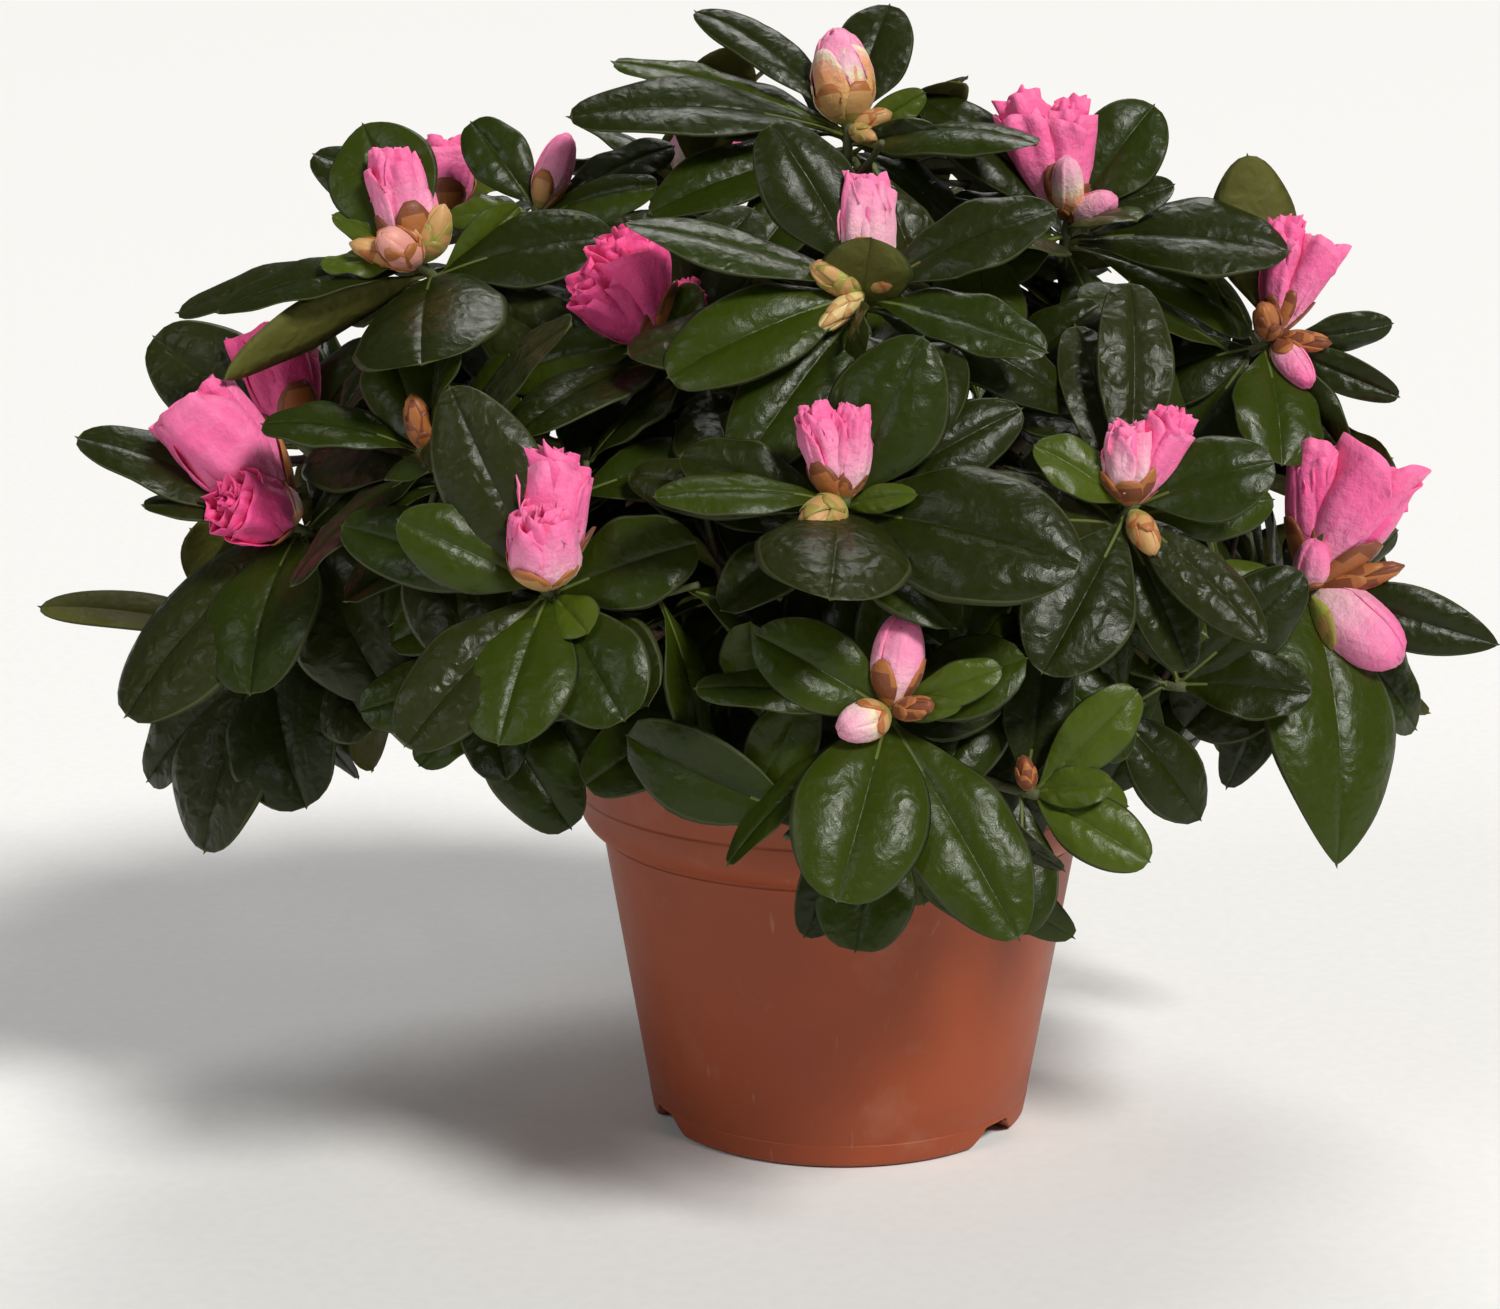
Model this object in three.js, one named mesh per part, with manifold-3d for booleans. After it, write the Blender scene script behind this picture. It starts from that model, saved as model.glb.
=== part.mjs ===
// A young azalea in a round nursery pot, in millimetres with +Z up.
// The origin is the centre of the pot's flat underside, and the front of the plant looks to -Y.
import * as THREE from "three";
import { mergeVertices } from "three/addons/utils/BufferGeometryUtils.js";
import Module from "manifold-3d";

const wasm = await Module();
wasm.setup();

// Pot and soil.
const POT = {
  foot: 43.1, wallTop: 54.3, wallTopZ: 67.5, shoulderZ: 76.6, rim: 60, height: 89.7, wall: 1.3, floor: 1.8,
};
const DRAIN = { count: 3, firstTurn: 53.6, width: 18, topWidth: 9.5, height: 4.5, depth: 12 };
const SOIL = { top: 79, gap: 0.35 };
const ROUND = 40;

// Trunk and limbs.
const GAP = 0.3;
const TRUNK = {
  flare: 8.2, foot: 5.6, tip: 4.4, top: 103, lean: [-5, 3], topWay: [-0.35, 0.1, 1], sides: 8, steps: 5,
};
const LIMB = { base: 3.3, sideBase: 2.5, tip: 1.8, reach: 0.5, turn: 0.7, sides: 5, steps: 4 };
const STEM = { base: 1.7, tip: 1.45, reach: 0.45, steps: 2 };
const TWIG = {
  base: 1.45, tip: 1.15, turn: 0.65, firstJoin: 0.97, join: 0.55, joinSpread: 0.4, sides: 3, steps: 3,
};

// Crown.
const HEART = [-12, 0, 105];
const REACH = [122, 112, 118];
const LOWEST = 40;
const RISING = 0.25;
const VIEW_TILT = 12.3;
const LEAF = { thick: 1.0, rootThick: 1.35, fold: 0.1, clear: 0.8, broad: 1.1 };
const LEAF_RINGS = [{ t: 0, wide: 0 }, { t: 0.32, wide: 0.86 }, { t: 0.75, wide: 0.92 }, { t: 1, wide: 0 }];
const BUD_SIDES = 5;
const BUD_RINGS = { bud: [0.3, 0.7], bloom: [0.34, 0.9] };
const GOLDEN = 137.508;

// A whorl opens from its first leaf to its last: angles in degrees, lengths in millimetres.
const WHORL = {
  open: 32, spread: 66, wobble: 12, swing: 24, droop: 0.14, length: 30, shortLength: 27, growth: 26,
  down: 1.5, downStep: 1.1, roll: 16, bend: 22, bendSpread: 22,
};

// Each spray is a whorl of leaves round a shoot tip. A leaf is [clock hour, lean to the front in
// degrees, length, width, roll in degrees], as the plant is seen from the front and a little above.
// A bud or bloom is [clock hour, lean, length, width, kind].
const SPRAYS = {
  crest: {
    at: [1, -5, 227],
    more: 2,
    leaves: [
      [0.6, -15, 31, 16], [10.35, -15, 46, 14, 12], [9.6, -5, 55, 14, 12], [9.08, 8, 62, 20, 10],
      [9.3, -25, 41, 14], [1.95, 5, 20, 7, 40], [3, 40, 25, 8, 60], [8.35, 15, 48, 16],
      [4.15, 10, 30, 14], [7.3, 25, 40, 16],
    ],
    buds: [
      [11.75, 0, 21, 12.5, "bloom"], [2.4, 10, 9, 5, "bud"], [4, 40, 8, 4.5, "bud"],
    ],
  },
  shelf: {
    at: [-68, 0, 208],
    more: 3,
    leaves: [
      [10.8, -10, 26, 13], [2.1, 0, 34, 13], [9, 5, 20, 12], [2.6, 25, 30, 14], [7, 20, 30, 14],
      [5, 25, 32, 15],
    ],
    buds: [
      [0.7, 0, 18, 8, "bloom"],
    ],
  },
  upleft: {
    at: [-92, -28, 199],
    more: 0,
    leaves: [
      [11.25, -10, 34, 22], [10, 0, 22, 7, 12], [9, 10, 22, 8, 12], [8.6, 0, 46, 14, 14],
      [8.75, -12, 58, 15, 20], [8.04, 10, 50, 11, 106], [5.9, 60, 44, 31], [2.6, 5, 40, 20],
      [1.6, -5, 24, 9, 60], [4.05, 12, 57, 25],
    ],
    buds: [
      [11.5, 0, 25, 13, "bloom"], [11.9, 25, 12, 6, "bud"], [0.8, 15, 13, 8, "bud"],
      [10.2, 50, 13, 9, "bud"], [9.5, 20, 15, 6, "bud"],
    ],
  },
  peek: {
    at: [-90, 22, 204],
    more: 6,
    leaves: [
      [9.9, -10, 36, 16], [1.2, -20, 22, 12],
    ],
    buds: [
      [11.9, 0, 18, 13, "bloom"],
    ],
  },
  recess: {
    at: [-42, -48, 185],
    more: 7,
    leaves: [
      [3.6, 10, 34, 15], [8.3, -20, 34, 15], [1.45, 35, 17, 12], [1.1, -15, 38, 18],
    ],
    buds: [
      [11.4, 15, 24, 16, "bloom"], [10.4, 25, 21, 13, "bloom"], [1.3, -10, 15, 8, "bloom"],
    ],
  },
  brow: {
    at: [3, -66, 198],
    more: 1,
    leaves: [
      [11, 0, 39, 19], [9.5, 5, 51, 17, 25], [8.2, 12, 45, 19], [2.2, 5, 43, 15], [3.6, 15, 40, 13],
      [6.1, 60, 25, 9, 70], [7.2, 20, 48, 19], [3.8, -5, 49, 15], [0.2, 50, 20, 17],
    ],
    buds: [
      [0, 0, 23, 12, "bloom"], [9.7, 20, 12, 7, "bud"], [1.9, 25, 9, 6, "bud"],
      [7.6, 25, 14, 5, "bud"],
    ],
  },
  brink: {
    at: [49, -8, 207],
    more: 3,
    leaves: [
      [10.35, -5, 50, 22], [1.2, -5, 33, 18], [2.3, 5, 25, 10], [11.6, -30, 29, 14],
      [3, 60, 26, 14], [8.2, 25, 32, 14], [9.7, 5, 31, 9], [3.12, 10, 49, 23],
      [3.75, -8, 47, 16], [5.4, 10, 34, 16], [9.6, -15, 38, 17],
    ],
    buds: [
      [11.2, 0, 29, 12.5, "bloom"], [11.95, 5, 26, 12, "bloom"], [11.8, 35, 15, 7, "bud"],
      [2.2, 35, 12, 7, "bud"],
    ],
  },
  shoulder: {
    at: [95, -14, 181],
    more: 2,
    leaves: [
      [11.75, 5, 41, 18, 160], [2.75, 0, 27, 8, 50], [3.8, 5, 31, 8, 50], [4.85, 5, 30, 11, 60],
      [5.9, 32, 38, 24], [9.8, 5, 28, 9, 60], [8.4, -5, 34, 17], [7.2, 0, 36, 17],
    ],
    buds: [
      [0.25, 0, 27, 9, "bloom"], [0.95, 5, 25, 9, "bloom"], [11, 55, 12, 6.5, "bud"],
      [3.2, 20, 12, 5, "bud"], [4.9, 30, 14, 7, "bud"],
    ],
  },
  flank: {
    at: [57, -78, 155],
    more: 1,
    leaves: [
      [2.4, 8, 30, 17], [10.1, 10, 24, 12], [4.5, 15, 39, 13], [7, 27, 42, 21], [0.1, -15, 51, 15],
      [11.55, -25, 44, 14], [2.75, -15, 34, 14], [5.2, 5, 34, 13], [9.9, -5, 26, 9, 60],
    ],
    buds: [
      [11.9, 10, 17, 11, "bloom"], [0.85, 5, 22, 10, "bloom"], [5.2, 30, 11, 6, "bud"],
    ],
  },
  centre: {
    at: [-2, -98, 159],
    more: 0,
    leaves: [
      [9.05, 10, 38, 12, 30], [0.85, 0, 37, 22], [1.15, -20, 43, 18], [2.7, 30, 17, 6],
      [3.45, 18, 50, 27], [6.3, 64, 40, 28], [2, -8, 43, 15], [9.7, -5, 34, 14], [9.4, -18, 53, 14],
    ],
    buds: [
      [11.4, 5, 20, 9, "bloom"], [0.2, 5, 19, 8.5, "bloom"], [7.9, 45, 12.5, 8.5, "bud"],
    ],
  },
  port: {
    at: [-61, -96, 141],
    more: 0,
    leaves: [
      [11.15, 0, 45, 20], [9.85, 8, 33, 15], [7.4, 18, 43, 18], [6.55, 30, 36, 21],
      [4.95, 30, 34, 20], [4.5, 45, 16, 10], [2.35, 5, 31, 18], [9.6, -18, 49, 15],
    ],
    buds: [
      [0.1, 0, 28, 15, "bloom"], [11.9, 30, 18, 14, "bud"],
    ],
  },
  left: {
    at: [-120, -34, 143],
    more: 0,
    leaves: [
      [9.78, 5, 50, 16, 30], [9.3, 15, 33, 12, 40], [7.4, 8, 55, 27], [6.45, 27, 41, 26],
      [5.05, 15, 42, 25], [1.8, 5, 28, 13],
    ],
    buds: [
      [10.7, 10, 37, 20, "bloom"], [9.8, 42, 20, 16, "bloom"], [11.6, 40, 10, 6, "bud"],
    ],
  },
  backleft: {
    at: [-123, 6, 155],
    more: 6,
    leaves: [
      [10.2, -8, 43, 22], [8.7, -10, 40, 15], [1.1, 0, 30, 18],
    ],
    buds: [
      [11.5, 0, 28, 18, "bloom"],
    ],
  },
  lowleft: {
    at: [-128, -18, 111],
    more: 3,
    leaves: [
      [6.62, 5, 47, 26], [5.5, 25, 39, 27], [4.9, 5, 34, 12, 40], [9.34, -5, 56, 15, 45],
      [7.6, -15, 46, 18],
    ],
    buds: [],
  },
  lowmidleft: {
    at: [-77, -58, 112],
    more: 0,
    leaves: [
      [4.95, 15, 36, 18], [4.3, 5, 31, 14], [5.6, 40, 26, 15], [7.4, 10, 24, 12], [8.6, 5, 30, 15],
      [2, 5, 32, 15],
    ],
    buds: [],
  },
  nookleft: {
    at: [-89, -56, 163],
    more: 8,
    leaves: [],
    buds: [
      [11.6, 20, 12, 6, "bud"],
    ],
  },
  lowmid: {
    at: [-27, -78, 117],
    more: 0,
    leaves: [
      [6.6, 20, 24, 13], [4.95, 20, 34, 15], [5.9, 35, 26, 13], [7.9, 10, 36, 16],
    ],
    buds: [],
  },
  nookmid: {
    at: [-31, -72, 136],
    more: 6,
    leaves: [
      [7.65, 20, 33, 9, 70],
    ],
    buds: [],
  },
  nookhigh: {
    at: [30, -48, 170],
    more: 8,
    leaves: [],
    buds: [],
  },
  nookright: {
    at: [32, -74, 126],
    more: 8,
    leaves: [],
    buds: [],
  },
  ledge: {
    at: [71, -56, 112],
    more: 0,
    leaves: [
      [11.2, 10, 32, 15], [1.6, 5, 36, 16], [9.4, 10, 32, 15], [3.1, 10, 30, 14], [8, 20, 26, 13],
      [0.4, -10, 36, 16], [6.9, -5, 26, 14],
    ],
    buds: [],
  },
  low: {
    at: [7, -108, 119],
    more: 0,
    leaves: [
      [10, 5, 31, 16], [9.25, 5, 39, 10, 30], [2.25, 10, 24, 8], [2.8, 30, 16, 5],
      [7.6, 10, 44, 10, 50], [6.55, 27, 42, 25], [5, 15, 52, 21], [4.4, 0, 47, 9, 60],
    ],
    buds: [
      [0.25, 5, 19, 10, "bloom"], [8.4, 35, 12, 8, "bud"], [2.6, 40, 10, 5, "bud"],
    ],
  },
  hem: {
    at: [6, -84, 95],
    more: 1,
    leaves: [
      [6.95, 8, 33, 13], [6.3, 12, 33, 19], [5.25, 5, 25, 12], [4.65, 0, 36, 13],
      [4.25, -5, 52, 12, 30],
    ],
    buds: [],
  },
  lowright: {
    at: [37, -92, 98],
    more: 0,
    leaves: [
      [1.5, 5, 30, 12], [4, 10, 28, 13], [2.8, 20, 18, 8], [0.3, -10, 32, 14], [6.1, 15, 30, 15],
      [3.3, -15, 24, 13],
    ],
    buds: [
      [11.6, 10, 7, 4.5, "bud"],
    ],
  },
  right: {
    at: [101, -36, 129],
    more: 0,
    leaves: [
      [3.55, 5, 42, 13, 30], [5.87, 15, 61, 31], [7.45, 18, 43, 24], [6.7, 0, 46, 14],
      [5.05, 5, 34, 11, 25], [9.2, 10, 22, 12], [2, -5, 27, 8, 50], [1, 35, 18, 8],
      [4.5, -12, 43, 20],
    ],
    buds: [
      [0.1, 0, 32, 12, "bloom"], [1, 5, 34, 18, "bloom"], [0, 35, 12, 8, "bud"],
      [2.5, 15, 20, 6, "bud"], [4.3, 12, 24, 15, "bloom"],
    ],
  },
};

// Round the back the shoots stand in rings on the same oval crown: [rise, turns from the front].
const BACK_RINGS = {
  skirt: { rise: 2, turns: [98, 124, 152, 180, 208, 236, 262], whorl: 8 },
  waist: { rise: 22, turns: [104, 136, 168, 200, 228, 256], whorl: 9 },
  neck: { rise: 48, turns: [124, 160, 196, 232], whorl: 9 },
  cap: { rise: 74, turns: [150, 215], whorl: 9 },
};

// A limb starts on its parent, part of the way along it, and runs out to its own mass of leaves.
const LIMBS = {
  bough_front: { from: "trunk", at: 0.5, mass: "foliage_front" },
  bough_left: { from: "trunk", at: 0.72, mass: "foliage_left" },
  bough_right: { from: "trunk", at: 0.38, mass: "foliage_right" },
  bough_back_left: { from: "trunk", at: 0.4, mass: "foliage_back_left" },
  bough_back_right: { from: "trunk", at: 0.74, mass: "foliage_back_right" },
  bough_back: { from: "trunk", at: 0.56, mass: "foliage_back" },
  bough_top: { from: "trunk", at: 1, mass: "foliage_top" },
  branch_upper_front: { from: "bough_front", at: 0.5, mass: "foliage_upper_front" },
  branch_low_front: { from: "bough_front", at: 0.34, mass: "foliage_low_front" },
  branch_upper_left: { from: "bough_left", at: 0.52, mass: "foliage_upper_left" },
  branch_front_left: { from: "bough_left", at: 0.36, mass: "foliage_front_left" },
  branch_upper_right: { from: "bough_right", at: 0.52, mass: "foliage_upper_right" },
  branch_front_right: { from: "bough_right", at: 0.36, mass: "foliage_front_right" },
  branch_high_left: { from: "bough_back_left", at: 0.5, mass: "foliage_high_left" },
  branch_high_right: { from: "bough_back_right", at: 0.5, mass: "foliage_high_right" },
  branch_low_back: { from: "bough_back", at: 0.42, mass: "foliage_low_back" },
  branch_high_back: { from: "bough_top", at: 0.5, mass: "foliage_high_back" },
};

const MASSES = {
  foliage_top: ["crest", "cap_0"],
  foliage_upper_left: ["upleft", "peek", "shelf"],
  foliage_upper_front: ["recess", "brow", "nookhigh"],
  foliage_upper_right: ["brink", "shoulder"],
  foliage_front: ["centre", "nookmid"],
  foliage_front_left: ["port", "nookleft", "lowmidleft"],
  foliage_left: ["left", "backleft", "lowleft"],
  foliage_low_front: ["low", "hem", "lowmid", "lowright"],
  foliage_front_right: ["flank", "nookright", "ledge"],
  foliage_right: ["right", "waist_0", "skirt_0"],
  foliage_back_right: ["skirt_1", "waist_1"],
  foliage_high_right: ["neck_0", "neck_1"],
  foliage_back: ["waist_2", "waist_3"],
  foliage_low_back: ["skirt_2", "skirt_3", "skirt_4"],
  foliage_back_left: ["skirt_5", "skirt_6", "waist_5"],
  foliage_high_left: ["waist_4", "neck_3"],
  foliage_high_back: ["neck_2", "cap_1"],
};

const COLOURS = {
  pot: 0x96492f, soil: 0x2a1e15, bark: 0x6b5238, leaf: 0x2c3f1e,
};

// Small vector sums.
const rad = (degrees) => (degrees * Math.PI) / 180;
const add = (a, b) => [a[0] + b[0], a[1] + b[1], a[2] + b[2]];
const sub = (a, b) => [a[0] - b[0], a[1] - b[1], a[2] - b[2]];
const mul = (a, k) => [a[0] * k, a[1] * k, a[2] * k];
const dot = (a, b) => a[0] * b[0] + a[1] * b[1] + a[2] * b[2];
const cross = (a, b) => [a[1] * b[2] - a[2] * b[1], a[2] * b[0] - a[0] * b[2], a[0] * b[1] - a[1] * b[0]];
const size = (a) => Math.sqrt(dot(a, a));
const unit = (a) => mul(a, 1 / (size(a) || 1));
const mix = (a, b, k) => add(mul(a, 1 - k), mul(b, k));
const across = (v, axis) => sub(v, mul(axis, dot(v, axis)));

function turnAbout(v, axis, angle) {
  const c = Math.cos(angle);
  const s = Math.sin(angle);
  return add(add(mul(v, c), mul(cross(axis, v), s)), mul(axis, dot(axis, v) * (1 - c)));
}

// A repeatable stream of numbers from 0 to 1.
function seeded(seed) {
  let state = seed >>> 0;
  return () => {
    state = (state + 0x6d2b79f5) >>> 0;
    let t = Math.imul(state ^ (state >>> 15), state | 1) >>> 0;
    t = (t ^ ((t + Math.imul(t ^ (t >>> 7), t | 61)) >>> 0)) >>> 0;
    return ((t ^ (t >>> 14)) >>> 0) / 4294967296;
  };
}

// Skeleton.

// A curve from one point to another that leaves and arrives along given directions.
function path(from, leave, to, arrive, steps) {
  const pull = size(sub(to, from)) / 3;
  const b = add(from, mul(leave, pull));
  const c = sub(to, mul(arrive, pull));
  const points = [];
  for (let i = 0; i <= steps; i++) {
    const t = i / steps;
    const u = 1 - t;
    const near = add(mul(from, u * u * u), mul(b, 3 * u * u * t));
    const far = add(mul(c, 3 * u * t * t), mul(to, t * t * t));
    points.push(add(near, far));
  }
  return points;
}

function along(points, t) {
  const place = Math.min(t, 0.9999) * (points.length - 1);
  const i = Math.floor(place);
  return { point: mix(points[i], points[i + 1], place - i), way: unit(sub(points[i + 1], points[i])) };
}

// The point that lies a given length down a twig from its tip.
function downTwig(points, down) {
  let left = down;
  for (let i = points.length - 1; i > 0; i--) {
    const step = size(sub(points[i - 1], points[i]));
    if (left <= step) return mix(points[i], points[i - 1], left / step);
    left -= step;
  }
  return points[0];
}

function taper(points, base, tip) {
  return points.map((_, i) => base + ((tip - base) * i) / (points.length - 1));
}

function backSprays() {
  const found = {};
  let seed = 900;
  for (const [ring, { rise, turns, whorl }] of Object.entries(BACK_RINGS)) {
    turns.forEach((turn, i) => {
      const next = seeded(seed++);
      const aside = rad(turn + 8 * (next() - 0.5));
      const lift = rad(rise + 8 * (next() - 0.5));
      const reach = 0.93 + 0.1 * next();
      const way = [Math.sin(aside) * Math.cos(lift), -Math.cos(aside) * Math.cos(lift), Math.sin(lift)];
      const at = add(HEART, way.map((k, j) => k * REACH[j] * reach));
      const blooms = next() < 0.55 ? 2 : 0;
      found[`${ring}_${i}`] = { at, more: whorl, leaves: [], buds: [], blooms };
    });
  }
  return found;
}

function skeleton() {
  const sprays = { ...SPRAYS, ...backSprays() };
  let seed = 1;
  for (const spray of Object.values(sprays)) {
    spray.seed = seed++;
    spray.axis = unit(add(unit(sub(spray.at, HEART)), [0, 0, RISING]));
  }
  const trunkTop = [TRUNK.lean[0], TRUNK.lean[1], TRUNK.top];
  const trunk = path([0, 0, SOIL.top + GAP], [0, 0, 1], trunkTop, unit(TRUNK.topWay), TRUNK.steps);
  const trunkRadii = taper(trunk, TRUNK.foot, TRUNK.tip);
  const limbs = { trunk: { points: trunk, radii: trunkRadii, sides: TRUNK.sides } };
  limbs.trunk.radii[0] = TRUNK.flare;
  for (const [name, { from, at, mass }] of Object.entries(LIMBS)) {
    const parent = limbs[from];
    const goal = mul(MASSES[mass].map((s) => sprays[s].at).reduce(add), 1 / MASSES[mass].length);
    const start = along(parent.points, at);
    const end = mix(trunkTop, goal, LIMB.reach);
    const begin = at === 1 ? add(parent.points.at(-1), mul(start.way, GAP)) : start.point;
    const leave = at === 1 ? start.way : unit(mix(start.way, unit(sub(end, begin)), LIMB.turn));
    const points = path(begin, leave, end, unit(sub(goal, end)), LIMB.steps);
    const base = from === "trunk" ? LIMB.base : LIMB.sideBase;
    limbs[name] = { points, radii: taper(points, base, LIMB.tip), sides: LIMB.sides, goal, mass };
  }
  const twigs = [];
  for (const limb of Object.values(limbs)) {
    if (!limb.mass) continue;
    const names = MASSES[limb.mass];
    const tip = along(limb.points, 1);
    const begin = add(limb.points.at(-1), mul(tip.way, GAP));
    const fork = mix(begin, limb.goal, STEM.reach);
    const stem = path(begin, tip.way, fork, unit(sub(limb.goal, fork)), STEM.steps);
    twigs.push({ points: stem, radii: taper(stem, STEM.base, STEM.tip), mass: limb.mass });
    names.forEach((name, i) => {
      const spray = sprays[name];
      const next = seeded(spray.seed + 400);
      const join = along(stem, i === 0 ? TWIG.firstJoin : TWIG.join + TWIG.joinSpread * next());
      const leave = unit(mix(join.way, unit(sub(spray.at, join.point)), TWIG.turn));
      const points = path(join.point, leave, spray.at, spray.axis, TWIG.steps);
      twigs.push({ points, radii: taper(points, TWIG.base, TWIG.tip), mass: limb.mass });
      spray.twig = points;
      spray.mass = limb.mass;
    });
  }
  return { sprays, limbs, twigs };
}

// Leaves, buds and blooms as solids.

// A leaf's midrib is an arc over the straight line from its root to its tip.
function midrib(leaf, t) {
  const bend = leaf.bend;
  const rise = bend / 2 - bend * t;
  const chord = (2 * Math.sin(bend / 2)) / bend;
  const out = (Math.sin(bend / 2) - Math.sin(rise)) / bend / chord;
  const up = (Math.cos(rise) - Math.cos(bend / 2)) / bend / chord;
  const point = add(add(leaf.root, mul(leaf.way, out * leaf.length)), mul(leaf.face, up * leaf.length));
  const face = add(mul(leaf.way, -Math.sin(rise)), mul(leaf.face, Math.cos(rise)));
  return { point, face };
}

// The ring of four points round a leaf at one place along it: edge, upper face, edge, lower face.
function leafRing(leaf, ring, grow) {
  const { point, face } = midrib(leaf, LEAF_RINGS[ring].t);
  const side = cross(leaf.way, leaf.face);
  const half = (leaf.width / 2) * LEAF_RINGS[ring].wide + grow;
  const lift = leaf.width * LEAF.fold * LEAF_RINGS[ring].wide;
  const thick = (ring === 1 ? LEAF.rootThick : LEAF.thick) / 2 + grow;
  const edge = add(point, mul(face, lift));
  const aside = mul(side, half);
  const rise = mul(face, thick);
  return [add(edge, aside), add(point, rise), sub(edge, aside), sub(point, rise)];
}

function leafPoints(leaf, grow) {
  const end = midrib(leaf, 1).point;
  return [leaf.root, ...leafRing(leaf, 1, grow), ...leafRing(leaf, 2, grow), add(end, mul(leaf.way, grow))];
}

function bell(kind, t) {
  return kind === "bloom" ? 0.35 + 0.65 * Math.sin(rad(90 * t)) : Math.sin(Math.PI * t ** 0.8);
}

function budPoints(bud, grow) {
  const side = unit(across([0.3, 0.9, 0.2], bud.way));
  const points = [bud.root];
  for (const t of BUD_RINGS[bud.kind]) {
    const middle = add(bud.root, mul(bud.way, bud.length * t));
    for (let i = 0; i < BUD_SIDES; i++) {
      const arm = turnAbout(side, bud.way, (2 * Math.PI * i) / BUD_SIDES);
      points.push(add(middle, mul(arm, (bud.width / 2) * bell(bud.kind, t) + grow)));
    }
  }
  points.push(add(bud.root, mul(bud.way, bud.length + grow)));
  return points;
}

// Faces of a closed form made of a first point, rings of points and a last point.
function ringFaces(sides, rings) {
  const faces = [];
  const place = (ring, i) => 1 + ring * sides + (i % sides);
  const last = 1 + rings * sides;
  for (let i = 0; i < sides; i++) {
    faces.push([0, place(0, i + 1), place(0, i)]);
    for (let r = 0; r + 1 < rings; r++) {
      faces.push([place(r, i), place(r, i + 1), place(r + 1, i + 1)]);
      faces.push([place(r, i), place(r + 1, i + 1), place(r + 1, i)]);
    }
    faces.push([place(rings - 1, i), place(rings - 1, i + 1), last]);
  }
  return faces;
}

const LEAF_FACES = ringFaces(4, 2);
const BUD_FACES = ringFaces(BUD_SIDES, BUD_RINGS.bud.length);

// Keeping each mass to its own space.
function pierces(p, q, a, b, c) {
  const way = sub(q, p);
  const e1 = sub(b, a);
  const e2 = sub(c, a);
  const h = cross(way, e2);
  const det = dot(e1, h);
  if (Math.abs(det) < 1e-9) return false;
  const s = sub(p, a);
  const u = dot(s, h) / det;
  if (u < 0 || u > 1) return false;
  const k = cross(s, e1);
  const v = dot(way, k) / det;
  if (v < 0 || u + v > 1) return false;
  const t = dot(e2, k) / det;
  return t >= 0 && t <= 1;
}

// True if an edge of one face goes through another face. Each edge is tried once, from its lower end.
function edgePierces(face, points, corners) {
  for (let i = 0; i < 3; i++) {
    const from = face[i];
    const to = face[(i + 1) % 3];
    if (from < to && pierces(points[from], points[to], ...corners)) return true;
  }
  return false;
}

function crosses(a, b) {
  for (const f of a.faces) {
    const corners = f.map((v) => a.points[v]);
    for (const g of b.faces) {
      if (edgePierces(g, b.points, corners)) return true;
      if (edgePierces(f, a.points, g.map((v) => b.points[v]))) return true;
    }
  }
  return false;
}

function nearRod(point, rod) {
  const way = sub(rod.b, rod.a);
  const t = Math.max(0, Math.min(1, dot(sub(point, rod.a), way) / dot(way, way)));
  return size(sub(point, add(rod.a, mul(way, t)))) - rod.radius;
}

function solid(item, grow) {
  const isLeaf = item.kind === "leaf";
  const points = isLeaf ? leafPoints(item, grow) : budPoints(item, grow);
  const middle = add(item.root, mul(item.way, item.length / 2));
  const radius = item.length / 2 + item.width / 2 + 2;
  return { points, faces: isLeaf ? LEAF_FACES : BUD_FACES, middle, radius };
}

function clearOf(item, placed, rods) {
  const big = solid(item, LEAF.clear);
  const samples = [...big.points.slice(1)];
  for (let i = 1; i + 4 < big.points.length; i++) samples.push(mix(big.points[i], big.points[i + 4], 0.5));
  for (const p of samples) {
    const out = Math.hypot(p[0], p[1]);
    if (p[2] < POT.height + 1 && out < POT.rim + 1.2) return false;
    if (p[2] < LOWEST) return false;
  }
  for (const rod of rods) {
    if (rod.mass === item.mass) continue;
    if (nearRod(big.middle, rod) > big.radius) continue;
    if (samples.some((p) => nearRod(p, rod) < 0.4)) return false;
    if (big.faces.some((f) => pierces(rod.a, rod.b, ...f.map((v) => big.points[v])))) return false;
  }
  for (const other of placed) {
    if (other.spray === item.spray) continue;
    if (size(sub(other.body.middle, big.middle)) > other.body.radius + big.radius) continue;
    if (crosses(big, other.body)) return false;
  }
  return true;
}

// Small turns that a leaf may make to find room: [tip, roll] in degrees, each also at a smaller size.
const TRIES = [
  [0, 0], [7, 0], [-7, 0], [0, 14], [0, -14], [14, 8], [-14, 8], [22, -10], [-22, -10], [30, 0], [-30, 0],
];
const SHRINKS = [1, 0.86];

// Shifts a leaf in small steps until it clears the other masses, or leaves it out.
function settle(item, placed, rods) {
  for (const [tip, roll] of TRIES) {
    for (const shrink of SHRINKS) {
      const side = cross(item.way, item.face);
      const way = turnAbout(item.way, side, rad(tip));
      const face = turnAbout(turnAbout(item.face, side, rad(tip)), way, rad(roll));
      const moved = { ...item, way, face, length: item.length * shrink, width: item.width * shrink };
      if (clearOf(moved, placed, rods)) {
        moved.body = solid(moved, 0);
        placed.push(moved);
        return;
      }
    }
  }
}

// The rule that sets leaves and buds round a shoot tip.
const SEEN = {
  right: [1, 0, 0],
  up: [0, Math.sin(rad(VIEW_TILT)), Math.cos(rad(VIEW_TILT))],
  front: [0, -Math.cos(rad(VIEW_TILT)), Math.sin(rad(VIEW_TILT))],
};

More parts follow.
